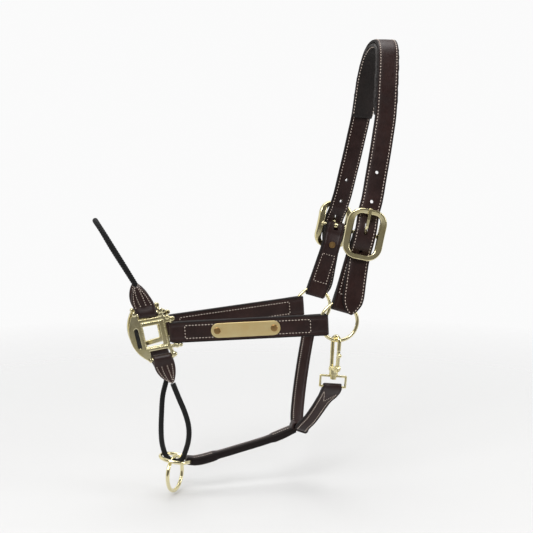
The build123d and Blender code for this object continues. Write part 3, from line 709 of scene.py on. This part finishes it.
def braid(name, points, node):
    """Twelve strands woven over and under each other, round a core."""
    line = spline_line(points)
    length = np.linalg.norm(np.diff(line, axis=0), axis=1).sum()
    line = respaced(line, int(length / 0.42))
    s = np.linspace(0, length, len(line))
    tangent, side, other = carried_frames(line)
    verts, faces = [], []
    sides = 6

    def tube(centres, wide, thin, out_dir, way_dir):
        faces.extend(tube_faces(len(verts), len(centres), sides))
        for k in range(len(centres)):
            for j in range(sides):
                a = 2 * math.pi * j / sides
                verts.append(centres[k] + way_dir[k] * wide * math.cos(a) + out_dir[k] * thin * math.sin(a))

    turn = 2 * math.pi / BRAID_PITCH
    for way in (1, -1):
        for k in range(BRAID_WAYS):
            angle = way * turn * s + 2 * math.pi * k / BRAID_WAYS
            weave = way * np.cos(BRAID_WAYS * turn * s) * BRAID_WEAVE
            radius = (BRAID_RADIUS + weave)[:, None]
            out = side * np.cos(angle)[:, None] + other * np.sin(angle)[:, None]
            place = line + out * radius
            along = unit(np.gradient(place, axis=0))
            tube(place, 0.90, 0.60, out, unit(np.cross(along, out)))
    tube(line, CORE_RADIUS, CORE_RADIUS, side, other)
    rope = make_mesh(name, verts, faces, [ROPE], crease=75)
    settle(rope, "head_straps", [node])


braid("nose_rope_braid", NOSE_ROPE, "nose_rope")
braid("chin_rope_braid", CHIN_ROPE, "chin_rope")

# ---- crown ----
CROWN_TOP = [
    (0.5, 0.0, 7.1), (0.2, -10.0, 6.2), (-0.8, -20.0, 2.0), (-2.4, -29.0, -6.5), (-4.6, -36.5, -21.0),
    (-6.8, -41.5, -38.0), (-8.8, -45.5, -60.0), (-11.2, -48.8, -82.0), (-15.2, -51.8, -104.0),
    (-19.6, -54.6, -127.0), (-24.8, -57.6, -152.0), (-30.0, -60.6, -177.0),
]
CROWN_IN_BUCKLE = [
    (27.5, -0.9), (22.5, -0.4), (16.5, 2.2), (10.0, 5.4), (3.0, 6.9), (-3.0, 6.9), (-10.5, 5.2), (-17.0, 2.0),
    (-22.5, -0.4), (-28.0, -0.6), (-33.0, -0.4),
]
CROWN_END = [
    ((-49.6, -64.6, -266.0), 25.6), ((-52.8, -66.6, -286.0), 26.0), ((-54.2, -67.4, -294.0), 24.4),
    ((-55.4, -67.7, -301.0), 18.5), ((-56.0, -67.8, -306.0), 11.0), ((-56.4, -67.9, -309.0), 3.0),
]
NEAR_HOLES = [-146.0, -179.0, -236.0]
OFF_HOLES = [-159.0, -186.0, -236.0]
CROWN_THICK = 3.8


def leg_across(height):
    share = min(max(-height / 160.0, 0.0), 1.0)
    turn, lean = math.radians(-10.0 * share), math.radians(12.0 * share)
    return (math.cos(turn) * math.cos(lean), math.sin(turn), -math.sin(lean) * math.cos(turn))


def near_crown():
    stations = [(p, leg_across(p[2]), STRAP_WIDTH, CROWN_THICK) for p in CROWN_TOP]
    stations += [(BUCKLE.at(0, y, z), BUCKLE.x, STRAP_WIDTH, CROWN_THICK) for y, z in CROWN_IN_BUCKLE]
    lean = math.radians(8.2)
    stations += [(p, (math.cos(lean), -0.03, -math.sin(lean)), w, CROWN_THICK) for p, w in CROWN_END]
    return stations


def mirrored(stations):
    return [((p[0], -p[1], p[2]), (a[0], -a[1], a[2]), *rest) for p, a, *rest in stations]


def both_legs(near):
    """Stations of the near leg and its mirror, from the near end over the poll to the off end."""
    return near[::-1] + mirrored(near)[1:]


def build_crown():
    strap = Strap(both_legs(near_crown()), groove=2.9)
    cutters = []
    for side, heights in ((-1, NEAR_HOLES), (1, OFF_HOLES)):
        for height in heights:
            leg = np.sign(strap.centre[:, 1]) == side
            k = np.where(leg)[0][np.argmin(abs(strap.centre[leg, 2] - height))]
            c, n = vec(strap.centre[k]), vec(strap.normal[k])
            cutters.append(cutter_rod(c - n * 5, c + n * 5, 2.0))
    for off in (False, True):
        cutters.append(cutter_slot(BUCKLE, 6.4, 4.2, 14.0, 14.0, off=off))
    strap.cut_out("crown_strap_leather", "crown_strap", cutters)
    sew("crown_strap_stitches", [strap.edge_row(1.9, strap.length - 1.9, sign, 2.9, side)
                                 for side in (1, -1) for sign in (1, -1)])


build_crown()

# ---- crown padding ----
PADDING_THICK = 5.0
PADDING_WIDTH = 31.0
PADDING_SEAM = 12.6
LAST_PADDED = 8
PUFF_LIMIT = 0.0013


def build_padding():
    """The soft lining: sewn to the crown along both edges, puffed between and beyond."""
    legs = both_legs(near_crown()[:LAST_PADDED])
    inward = CROWN_THICK / 2 + 0.2 + PADDING_THICK / 2
    points, across = parted([s[:2] for s in legs])
    across = unit(across)
    tangent = unit(np.gradient(points, axis=0))
    out = unit(np.cross(across, tangent))
    middle = points - out * inward
    stations = []
    for k in range(len(points)):
        narrower = 3.0 if k in (0, len(points) - 1) else 0.8
        stations.append((middle[k], across[k], PADDING_WIDTH - narrower, PADDING_THICK - 1.2, 1.8))
    strap = Strap(stations, ends=(2.4, 2.4), step=2.0, plies=1, groove=99.0, swell=0.0)
    pad = strap.build("crown_lining", [LINING])
    remesh = pad.modifiers.new("remesh", "REMESH")
    remesh.mode = "VOXEL"
    remesh.voxel_size = 0.0019
    applied(pad, None)
    rest = np.array([v.co for v in pad.data.vertices], float)
    nearest = np.array([np.argmin(((strap.centre - p / MM) ** 2).sum(1)) for p in rest])
    offset = rest / MM - strap.centre[nearest]
    height = (offset * strap.normal[nearest]).sum(1)
    place = (offset * strap.across[nearest]).sum(1)
    seam = (abs(abs(place) - PADDING_SEAM) < 0.9) & (height < -0.5)
    pin = pad.vertex_groups.new(name="sewn")
    for fixed in (height > 1.0, seam):
        pin.add([int(k) for k in np.where(fixed)[0]], 1.0, "REPLACE")
    cloth = pad.modifiers.new("puff", "CLOTH").settings
    cloth.quality = 6
    cloth.use_pressure = True
    cloth.uniform_pressure_force = 4.0
    cloth.effector_weights.gravity = 0.0
    cloth.tension_stiffness = 8.0
    cloth.compression_stiffness = 8.0
    cloth.bending_stiffness = 0.05
    cloth.mass = 0.25
    cloth.vertex_group_mass = "sewn"
    for step in range(1, 21):
        bpy.context.scene.frame_set(step)
    moved = pad.evaluated_get(bpy.context.evaluated_depsgraph_get())
    moved = np.array([v.co for v in moved.data.vertices], float)
    pad.modifiers.clear()
    bpy.context.scene.frame_set(1)
    shift = moved - rest
    far = np.linalg.norm(shift, axis=1, keepdims=True)
    shift = np.where(np.isfinite(far), shift * np.minimum(1.0, PUFF_LIMIT / np.maximum(far, 1e-9)), 0.0)
    pad.data.vertices.foreach_set("co", (rest + shift).astype(np.float32).ravel())
    pad.data.update()
    smooth = pad.modifiers.new("soften", "SMOOTH")
    smooth.factor = 0.5
    smooth.iterations = 3
    refine = pad.modifiers.new("refine", "SUBSURF")
    refine.levels = 1
    refine.render_levels = 1
    applied(pad, 60.0)
    pad.data.materials.clear()
    pad.data.materials.append(LINING)
    pad.data.polygons.foreach_set("material_index", np.zeros(len(pad.data.polygons), np.int32))
    settle(pad, "head_straps", ["crown_padding"])
    rows = []
    for sign in (1, -1):
        at = np.arange(3.5, strap.length - 3.5, ROW_STEP)
        rows.append(parted([strap.on(s, sign * PADDING_SEAM, -1, 0.3) for s in at]))
    sew("crown_lining_stitches", rows)


build_padding()


# ---- cheek billets ----
def billet_stations():
    """From the fold over the buckle's bar to the fold round the cheek ring."""
    stations = [(BUCKLE.at(0, 4.6, 0.8), BUCKLE.x, STRAP_WIDTH, 9.2),
                (BUCKLE.at(0, 0, 0.0), BUCKLE.x, STRAP_WIDTH, 9.2)]
    for along, out, thick in [(-7.0, -1.8, 7.4), (-12.0, -3.0, 5.4), (-22.0, -5.3, 5.2), (-27.0, -5.5, 5.2),
                              (-32.0, -5.7, 5.2)]:
        stations.append((BUCKLE.at(along * 0.09, along, out), BUCKLE.x, STRAP_WIDTH, thick))
    last, end = vec(stations[-1][0]), vec(-66.4, -60.0, -306.2)
    level = vec(0.92, 0, -0.39)
    for share, thick in [(0.35, 5.2), (0.6, 6.2), (0.75, 8.6), (0.95, 8.8), (1.0, 8.6)]:
        turned = BUCKLE.x.lerp(level, min(share * 1.6, 1))
        stations.append((last.lerp(end, share), turned, STRAP_WIDTH, thick))
    return stations


def build_billet(side, off):
    strap = Strap(billet_stations(), ends=(4.4, 3.6), plies=2, groove=3.7)
    bar = cutter_rod(BUCKLE.at(-20, 0, 0), BUCKLE.at(20, 0, 0), 2.5, off=off)
    tongue_notch = cutter_box(BUCKLE, 2.9, 5.6, 9, off)
    cutters = [bar, cheek_ring_cutter(off), tongue_notch]
    strap.cut_out(f"{side}_billet_leather", f"{side}_cheek_billet", cutters, off)
    sew(f"{side}_billet_stitches", strap.box_rows(43.0, strap.length - 20.0, 8.6), off)


# ---- cheek straps ----
CHEEK_THICK = 6.4
CHEEK_END = vec(-80.5, -60.0, -320.6)
OFF_CHEEK_END = vec(-80.5, -60.0, -317.0)
SQUARE_BACK_BAR = 23.5


def build_cheek(side, off):
    bar = SQUARE.at(SQUARE_BACK_BAR, -0.6, 0)
    end = OFF_CHEEK_END if off else CHEEK_END
    run = (end - bar).normalized()
    whole = (end - bar).length
    level = vec(-0.05, 0, 1)
    stations = [(bar - run * 4.4, SQUARE.y, STRAP_WIDTH - 1, 8.8), (bar, SQUARE.y, STRAP_WIDTH - 1, 8.8)]
    for along, thick in [(8.0, 7.0), (13.0, CHEEK_THICK), (whole * 0.84, CHEEK_THICK), (whole * 0.92, 8.6),
                         (whole * 0.985, 8.8), (whole, 8.4)]:
        turned = SQUARE.y.lerp(level, min(along / whole * 4, 1))
        stations.append((bar + run * along, turned, STRAP_WIDTH, thick))
    strap = Strap(stations, ends=(4.3, 3.4), plies=3, groove=5.0, corner=1.7)
    low, high = [SQUARE.at(SQUARE_BACK_BAR, y) for y in (-22, 22)]
    cutters = [cutter_rod(low, high, BAR_ROOM, off=off), cheek_ring_cutter(off)]
    strap.cut_out(f"{side}_cheek_leather", f"{side}_cheek_strap", cutters, off)
    sew(f"{side}_cheek_stitches", strap.box_rows(18.4, strap.length - 21.0, 7.5), off)


# ---- rope tabs ----
FOLD_RADIUS = 4.9
FOLD_ROWS = 10
LEAF_THICK = 2.7
LEAF_ROPE = 4.2
TABS = {
    "nose": {
        "bar": 26.5, "left": ((-12.0, 26.5), (-16.6, 44.0)), "right": ((10.0, 26.5), (6.0, 44.5)),
        "tip": ((-11.5, 57.5), (-7.6, 59.6), (-3.2, 58.2)), "rope": ((-3.0, 34.0), (-7.4, 59.0)),
    },
    "chin": {
        "bar": -28.0, "left": ((-5.4, -28.0), (-4.6, -43.5)), "right": ((16.8, -28.0), (17.8, -43.0)),
        "tip": ((7.4, -57.4), (10.8, -58.8), (14.0, -56.0)), "rope": ((7.0, -36.0), (10.6, -58.0)),
    },
}


def leaf_edge(foot, side, tip):
    """One edge of a leaf, from the bar and a little way round its tip."""
    return respaced(np.concatenate([arc_through(foot, side, tip[0], 40), arc_through(*tip, 12)[1:7]]), 46)


def smooth_step(share):
    share = min(max(share, 0.0), 1.0)
    return share * share * (3 - 2 * share)


def leaf_grid(left, right, half, bar_y):
    """A folded leaf in the square's frame: rows of (x, y), and half thicknesses, from the bar to the tip."""
    count = len(left)
    q = np.sin(np.linspace(-math.pi / 2, math.pi / 2, 25))
    direction = 1 if left[-1][1] > left[0][1] else -1
    grid, heights = [], []
    for k in range(FOLD_ROWS):
        a = math.pi / 2 * (1 - k / FOLD_ROWS)
        y = bar_y - direction * FOLD_RADIUS * math.sin(a)
        line = [(left[0][0] + (right[0][0] - left[0][0]) * (u + 1) / 2, y) for u in q]
        grid.append(line)
        heights.append([FOLD_RADIUS * math.cos(a) * (1 - abs(u) ** 14) ** 0.5 for u in q])
    for k in range(count):
        line, tall = [], []
        share = k / (count - 1)
        for u in q:
            x = left[k][0] + (right[k][0] - left[k][0]) * (u + 1) / 2
            y = left[k][1] + (right[k][1] - left[k][1]) * (u + 1) / 2
            line.append((x, y))
            rim = (1 - abs(u) ** 7) ** 0.5
            end = math.sqrt(max(1 - ((share - 0.93) / 0.07) ** 2, 0)) if share > 0.93 else 1.0
            tall.append(half(x, y) * rim * end)
        grid.append(line)
        heights.append(tall)
    return grid, heights


def leaf_object(name, grid, heights, off):
    rows, cols = len(grid), len(grid[0])
    verts, faces = [], []
    top, low = {}, {}
    for i in range(rows):
        for j in range(cols):
            x, y = grid[i][j]
            top[i, j] = len(verts)
            verts.append(SQUARE.at(x, y, heights[i][j]))
            if i in (0, rows - 1) or j in (0, cols - 1):
                low[i, j] = top[i, j]
            else:
                low[i, j] = len(verts)
                verts.append(SQUARE.at(x, y, -heights[i][j]))
    for i in range(rows - 1):
        for j in range(cols - 1):
            faces.append((top[i, j], top[i, j + 1], top[i + 1, j + 1], top[i + 1, j]))
            faces.append((low[i, j], low[i + 1, j], low[i + 1, j + 1], low[i, j + 1]))
    obj = make_mesh(name, verts, faces, [LEATHER], off=off, crease=60)
    mesh = bmesh.new()
    mesh.from_mesh(obj.data)
    bmesh.ops.remove_doubles(mesh, verts=mesh.verts, dist=1e-6)
    bmesh.ops.recalc_face_normals(mesh, faces=mesh.faces)
    mesh.to_mesh(obj.data)
    mesh.free()
    finish_shading(obj.data, 60)
    return obj


def leaf_row(grid, heights, line, face):
    """A stitch row along (share up the leaf, place across it) points."""
    cols = np.sin(np.linspace(-math.pi / 2, math.pi / 2, len(grid[0])))
    xy, z = np.array(grid[FOLD_ROWS:], float), np.array(heights[FOLD_ROWS:], float)
    count = len(xy)
    pairs = []
    for share, u in respaced(line, 60):
        r = share * (count - 1)
        i = min(int(r), count - 2)
        f = r - i
        x0, x1 = np.interp(u, cols, xy[i][:, 0]), np.interp(u, cols, xy[i + 1][:, 0])
        y0, y1 = np.interp(u, cols, xy[i][:, 1]), np.interp(u, cols, xy[i + 1][:, 1])
        h = np.interp(u, cols, z[i]) * (1 - f) + np.interp(u, cols, z[i + 1]) * f
        pairs.append((SQUARE.at(x0 * (1 - f) + x1 * f, y0 * (1 - f) + y1 * f, face * h), SQUARE.z * face))
    return parted(pairs)


def build_tab(kind, side, off):
    shape = TABS[kind]
    bar_y = shape["bar"]
    left = leaf_edge(*shape["left"], shape["tip"])
    right = leaf_edge(*shape["right"], shape["tip"][::-1])
    a, b = np.array(shape["rope"])
    way = (b - a) / np.linalg.norm(b - a)

    def half(x, y):
        """Half the leaf's thickness: the fold round the bar, and the bulge over the rope's end."""
        p = np.array((x, y)) - a
        along, away = p @ way, abs(p[0] * way[1] - p[1] * way[0])
        bulge = math.sqrt(max(LEAF_ROPE**2 - away**2, 0.0)) - LEAF_THICK
        bulge = max(bulge, 0.0) * smooth_step((along + 2.0) / 10.0) * 0.85
        return LEAF_THICK + bulge + (FOLD_RADIUS - LEAF_THICK) * smooth_step(1 - abs(y - bar_y) / 11.0)

    grid, heights = leaf_grid(left, right, half, bar_y)
    tab = leaf_object(f"{side}_{kind}_tab_leather", grid, heights, off)
    mid = (left[0][0] + right[0][0]) / 2
    carved(tab, [cutter_rod(SQUARE.at(mid - 30, bar_y), SQUARE.at(mid + 30, bar_y), BAR_ROOM, off=off)], 60)
    settle(tab, "head_straps", [f"{side}_{kind}_tab"])
    by_edge = [(0.22, 0.74), (0.6, 0.7), (0.86, 0.62), (0.93, 0.2)]
    by_rope = [(0.24, 0.26), (0.6, 0.34), (0.84, 0.42)]
    rows = []
    for face in (1, -1):
        for line in (by_edge, by_rope):
            for sign in (-1, 1):
                rows.append(leaf_row(grid, heights, [(share, sign * u) for share, u in line], face))
    sew(f"{side}_{kind}_tab_stitches", rows, off, pitch=2.6)


for side_name, is_off in (("near", False), ("off", True)):
    build_billet(side_name, is_off)
    build_cheek(side_name, is_off)
    build_tab("nose", side_name, is_off)
    build_tab("chin", side_name, is_off)

# ---- throat strap ----
THROAT_THICK = 4.8
THROAT_WIDTH = 16.0
# (centre, across), and width and thickness where they aren't the usual ones
THROAT_PATH = [
    ((-70.9, 60.0, -331.6), (0.97, 0, 0.2), 16.0, 8.2),
    ((-71.2, 60.0, -334.6), (0.97, 0, 0.2), 16.0, 8.4),
    ((-72.4, 59.6, -343.0), (0.97, 0, 0.2), 16.0, 8.4),
    ((-74.0, 58.6, -351.0), (0.98, 0.03, 0.2), 16.0, 6.0),
    ((-77.0, 56.0, -363.0), (0.98, 0.05, 0.2)),
    ((-84.0, 47.5, -390.0), (0.98, 0.10, 0.18)),
    ((-91.0, 36.0, -417.0), (0.98, 0.12, 0.10)),
    ((-96.5, 24.0, -438.0), (0.98, 0.12, 0.0)),
    ((-99.4, 15.5, -450.8), (0.97, 0.06, -0.18)),
    ((-100.0, 8.6, -457.0), (0.934, 0, -0.358)),
    ((-100.0, -8.6, -457.0), (0.934, 0, -0.358)),
    ((-97.4, -16.0, -450.6), (0.90, 0.03, -0.42)),
    ((-92.0, -22.5, -442.0), (0.88, 0.05, -0.42)),
    ((-86.0, -33.0, -427.5), (0.88, 0.0, -0.38)),
    ((-81.0, -43.5, -413.5), (0.92, -0.08, -0.30), 17.0, THROAT_THICK),
    ((-77.0, -52.5, -403.0), (0.96, -0.15, -0.16), 21.0, 6.2),
    ((-75.6, -57.5, -397.5), (0.978, -0.208, -0.07), 22.0, 7.0),
    ((-75.15, -60.0, -393.6), LOOP.x, 22.0, 8.2),
    ((-75.0, -60.3, -390.4), LOOP.x, 22.0, 8.2),
]


def build_throat():
    stations = [(p, across, *(size or (THROAT_WIDTH, THROAT_THICK))) for p, across, *size in THROAT_PATH]
    strap = Strap(stations, ends=(3.6, 3.8), plies=2, groove=3.2)
    cutters = [cutter_rod(LOOP.at(-20, -14.2), LOOP.at(20, -14.2), 1.6), cheek_ring_cutter(True)]
    strap.cut_out("throat_strap_leather", "throat_strap", cutters)
    end = strap.length
    middle = strap.s[np.argmin(np.linalg.norm(strap.centre - np.array(JUNCTION.origin), axis=1))]
    rows = []
    for face in (1, -1):
        rows.append(strap.row([(12.0, -5.0), (12.0, 5.0)], face))
        rows.append(strap.edge_row(12.0, middle - 9.5, -1, 2.6, face))
        for sign in (1, -1):
            rows.append(strap.edge_row(middle + 9.5, end - 12.5, sign, 3.1, face))
        rows.append(strap.row([(end - 12.0, -7.6), (end - 30.0, 0.0), (end - 12.0, 7.6)], face))
    sew("throat_strap_stitches", rows, pitch=2.7)


build_throat()

# ---- jaw strap ----
# x and z of the centre, width, thickness, corner radius
JAW_PATH = [
    (-240.6, -489.4, 14.0, 7.0, 2.2),
    (-238.2, -489.9, 14.0, 9.4, 2.6),
    (-230.0, -491.2, 14.0, 9.8, 2.6),
    (-220.0, -490.3, 13.5, 10.6, 3.0),
    (-206.0, -487.1, 13.0, 10.6, 3.6),
    (-200.5, -485.8, 10.4, 9.0, 4.4),
    (-189.0, -483.2, 10.0, 9.0, 4.4),
    (-173.8, -479.5, 10.0, 9.0, 4.4),
    (-149.1, -473.5, 10.0, 9.0, 4.4),
    (-137.0, -470.2, 10.4, 9.0, 4.4),
    (-132.0, -468.6, 13.4, 10.2, 3.4),
    (-122.0, -465.0, 14.0, 10.0, 2.8),
    (-112.0, -461.0, 14.0, 9.0, 2.6),
    (-106.0, -458.6, 14.0, 8.4, 2.4),
]
CHIN_RING_CENTRE = vec(-252.5, 0.0, -487.0)
CHIN_RING_TILT = math.radians(10.6)


def sleeve_mesh():
    """The jaw strap's end folded round the throat strap: a rounded tube along Y with soft rims."""
    count = 64
    verts = []

    def oblong(wide, tall, radius, k):
        a = 2 * math.pi * k / count
        x, y = math.cos(a), math.sin(a)
        cx, cy = wide / 2 - radius, tall / 2 - radius
        scale = 1.0 / max(abs(x), abs(y), 1e-9)
        px, py = x * scale * wide / 2, y * scale * tall / 2
        qx, qy = min(max(px, -cx), cx), min(max(py, -cy), cy)
        d = math.hypot(px - qx, py - qy)
        if d < 1e-9:
            return px, py
        return qx + (px - qx) / d * radius, qy + (py - qy) / d * radius

    outline = [(-7.0, 0.5), (-6.7, 0.8), (-6.0, 1.0), (-3.0, 1.0), (0.0, 1.0), (3.0, 1.0), (6.0, 1.0),
               (6.7, 0.8), (7.0, 0.5), (7.0, 0.2), (6.6, 0.0), (0.0, 0.0), (-6.6, 0.0), (-7.0, 0.2)]
    for along, share in outline:
        wide, tall = 17.4 + 4.4 * share, 6.2 + 4.2 * share
        radius = min(0.9 + 3.0 * share, tall / 2 - 0.1)
        verts += [JUNCTION.at(*oblong(wide, tall, radius, k), along) for k in range(count)]
    return verts, hoop_faces(len(outline), count)


def build_jaw():
    stations = [((x, 0, z), (0, 1, 0), w, t, r) for x, z, w, t, r in JAW_PATH]
    strap = Strap(stations, ends=(3.4, 0.8), plies=2, groove=99.0, swell=0.3)
    normal = (math.sin(CHIN_RING_TILT), 0, math.cos(CHIN_RING_TILT))
    cutters = [cutter_ring(CHIN_RING_CENTRE, normal, 18.2, 2.4), cutter_box(JUNCTION, 8.7, 3.1, 16)]
    strap.cut_out("jaw_strap_leather", "jaw_strap", cutters)
    verts, faces = sleeve_mesh()
    sleeve = make_mesh("jaw_strap_sleeve", verts, faces, [LEATHER], crease=60)
    settle(sleeve, "head_straps")
    rows = []
    for face in (1, -1):
        for start, end in ((9.0, 34.0), (strap.length - 29.0, strap.length - 7.0)):
            rows += [strap.row([(start, v), (end, v)], face) for v in (3.9, -3.9)]
    seam = []
    for s in np.arange(40.0, strap.length - 36.0, ROW_STEP):
        centre, _, inner = strap.at(s)
        seam.append((centre - inner * 4.4, -inner))
    rows.append(parted(seam))
    sew("jaw_strap_stitches", rows, pitch=2.7)


build_jaw()


# ---- brass ----
def softened(node, name, body, voxel, rounds):
    """A cast version of a CAD node: its edges eased as casting and polishing leave them."""
    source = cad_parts[node]
    obj = bpy.data.objects.new(name, source.data.copy())
    bpy.context.scene.collection.objects.link(obj)
    obj.data.materials.clear()
    weld = obj.modifiers.new("weld", "WELD")
    weld.merge_threshold = 0.000002
    remesh = obj.modifiers.new("remesh", "REMESH")
    remesh.mode = "VOXEL"
    remesh.voxel_size = voxel
    smooth = obj.modifiers.new("ease", "SMOOTH")
    smooth.factor = 0.5
    smooth.iterations = rounds
    applied(obj, 50)
    obj.data.materials.clear()
    obj.data.materials.append(BRASS)
    settle(obj, body, [node])


for side_name in ("near", "off"):
    for kind, short, of_body, fine_size, passes in (
            ("halter_square", "square", "head_straps", 0.0004, 5),
            ("buckle_frame", "buckle", "head_straps", 0.0004, 5),
            ("buckle_tongue", "tongue", f"{side_name}_tongue", 0.00025, 4)):
        softened(f"{side_name}_{kind}", f"{side_name}_{short}_casting", of_body, fine_size, passes)
softened("snap_hook", "snap_hook_casting", "snap", 0.0003, 5)

NODE_FINISH = {
    "name_plate": PLATE,
    "name_plate_rivets": ANTIQUE,
    "near_billet_rivet": ANTIQUE,
    "off_billet_rivet": ANTIQUE,
    "near_square_inlay": ENAMEL,
    "off_square_inlay": ENAMEL,
    "snap_gate_spring": STEEL,
}
for node_name, node_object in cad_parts.items():
    finish = NODE_FINISH.get(node_name, BRASS)
    if not node_object.material_slots:
        node_object.data.materials.append(finish)
    for material_slot in node_object.material_slots:
        material_slot.link = "OBJECT"
        material_slot.material = finish


# ---- floor, light ----
def build_stage():
    bpy.ops.mesh.primitive_circle_add(vertices=96, radius=3.2, fill_type="NGON",
                                      location=(-0.17, 0.0, -0.5305))
    floor = bpy.context.object
    floor.name = "studio_floor"
    n = Surface("pale_floor")
    n.set(Base_Color=(0.74, 0.74, 0.74, 1), Roughness=0.9, Specular_IOR_Level=0.1)
    away = n.node("ShaderNodeVectorMath", {"operation": "LENGTH"})
    n.put(away.inputs[0], n.coords)
    fade = n.span(away.outputs["Value"], 0.1, 1.25, 0.15, 1.0)
    n.put(n.out.inputs[0], n.mixed(fade, n.shader, n.node("ShaderNodeBsdfTransparent")))
    floor.data.materials.append(n.owner)

    world = bpy.data.worlds.new("studio")
    w = Nodes(world)
    direction = w.node("ShaderNodeSeparateXYZ", Vector=w.node("ShaderNodeTexCoord").outputs["Generated"])
    depth = w.ramp(w.span(direction.outputs["Y"], -1.0, 1.0), [(0.30, (0.20, 0.19, 0.18)), (0.66, (1, 1, 1))])
    cards = [(0.16, 1.0), (0.28, 0.07), (0.40, 0.85), (0.56, 1.0), (0.66, 0.05), (0.80, 0.12)]
    stops = [(place, (level, level, level * 0.97)) for place, level in cards]
    bands = w.ramp(w.span(direction.outputs["X"], -1.0, 1.0), [(0.0, (1, 1, 1)), *stops, (1.0, (1, 1, 1))])
    both = w.node("ShaderNodeMix", {"data_type": "RGBA", "blend_type": "MULTIPLY"})
    for index, value in ((0, 0.5), (6, depth), (7, bands)):
        w.put(both.inputs[index], value)
    room = w.node("ShaderNodeBackground", Color=both.outputs[2], Strength=0.95)
    sweep = w.node("ShaderNodeBackground", Color=(1, 1, 1, 1), Strength=0.96)
    seen = w.node("ShaderNodeLightPath").outputs["Is Camera Ray"]
    w.node("ShaderNodeOutputWorld", Surface=w.mixed(seen, room, sweep))
    bpy.context.scene.world = world
    bpy.context.scene.view_settings.view_transform = "Standard"

    def panel(name, place, target, wide, tall, power):
        data = bpy.data.lights.new(name, "AREA")
        data.shape = "RECTANGLE"
        data.size = wide
        data.size_y = tall
        data.energy = power
        light = bpy.data.objects.new(name, data)
        light.location = place
        light.rotation_euler = (vec(target) - vec(place)).to_track_quat("-Z", "Y").to_euler()
        bpy.context.scene.collection.objects.link(light)

    panel("key", (-1.0, -1.2, 1.0), (-0.15, 0.0, -0.2), 0.9, 0.9, 22.0)
    panel("top", (-0.1, 0.2, 1.3), (-0.15, 0.0, -0.2), 1.2, 1.2, 14.0)
    panel("rim", (1.2, -0.7, 0.3), (-0.1, 0.0, -0.2), 0.35, 1.2, 7.0)


build_stage()

# ---- final view layer update ----
bpy.context.view_layer.update()
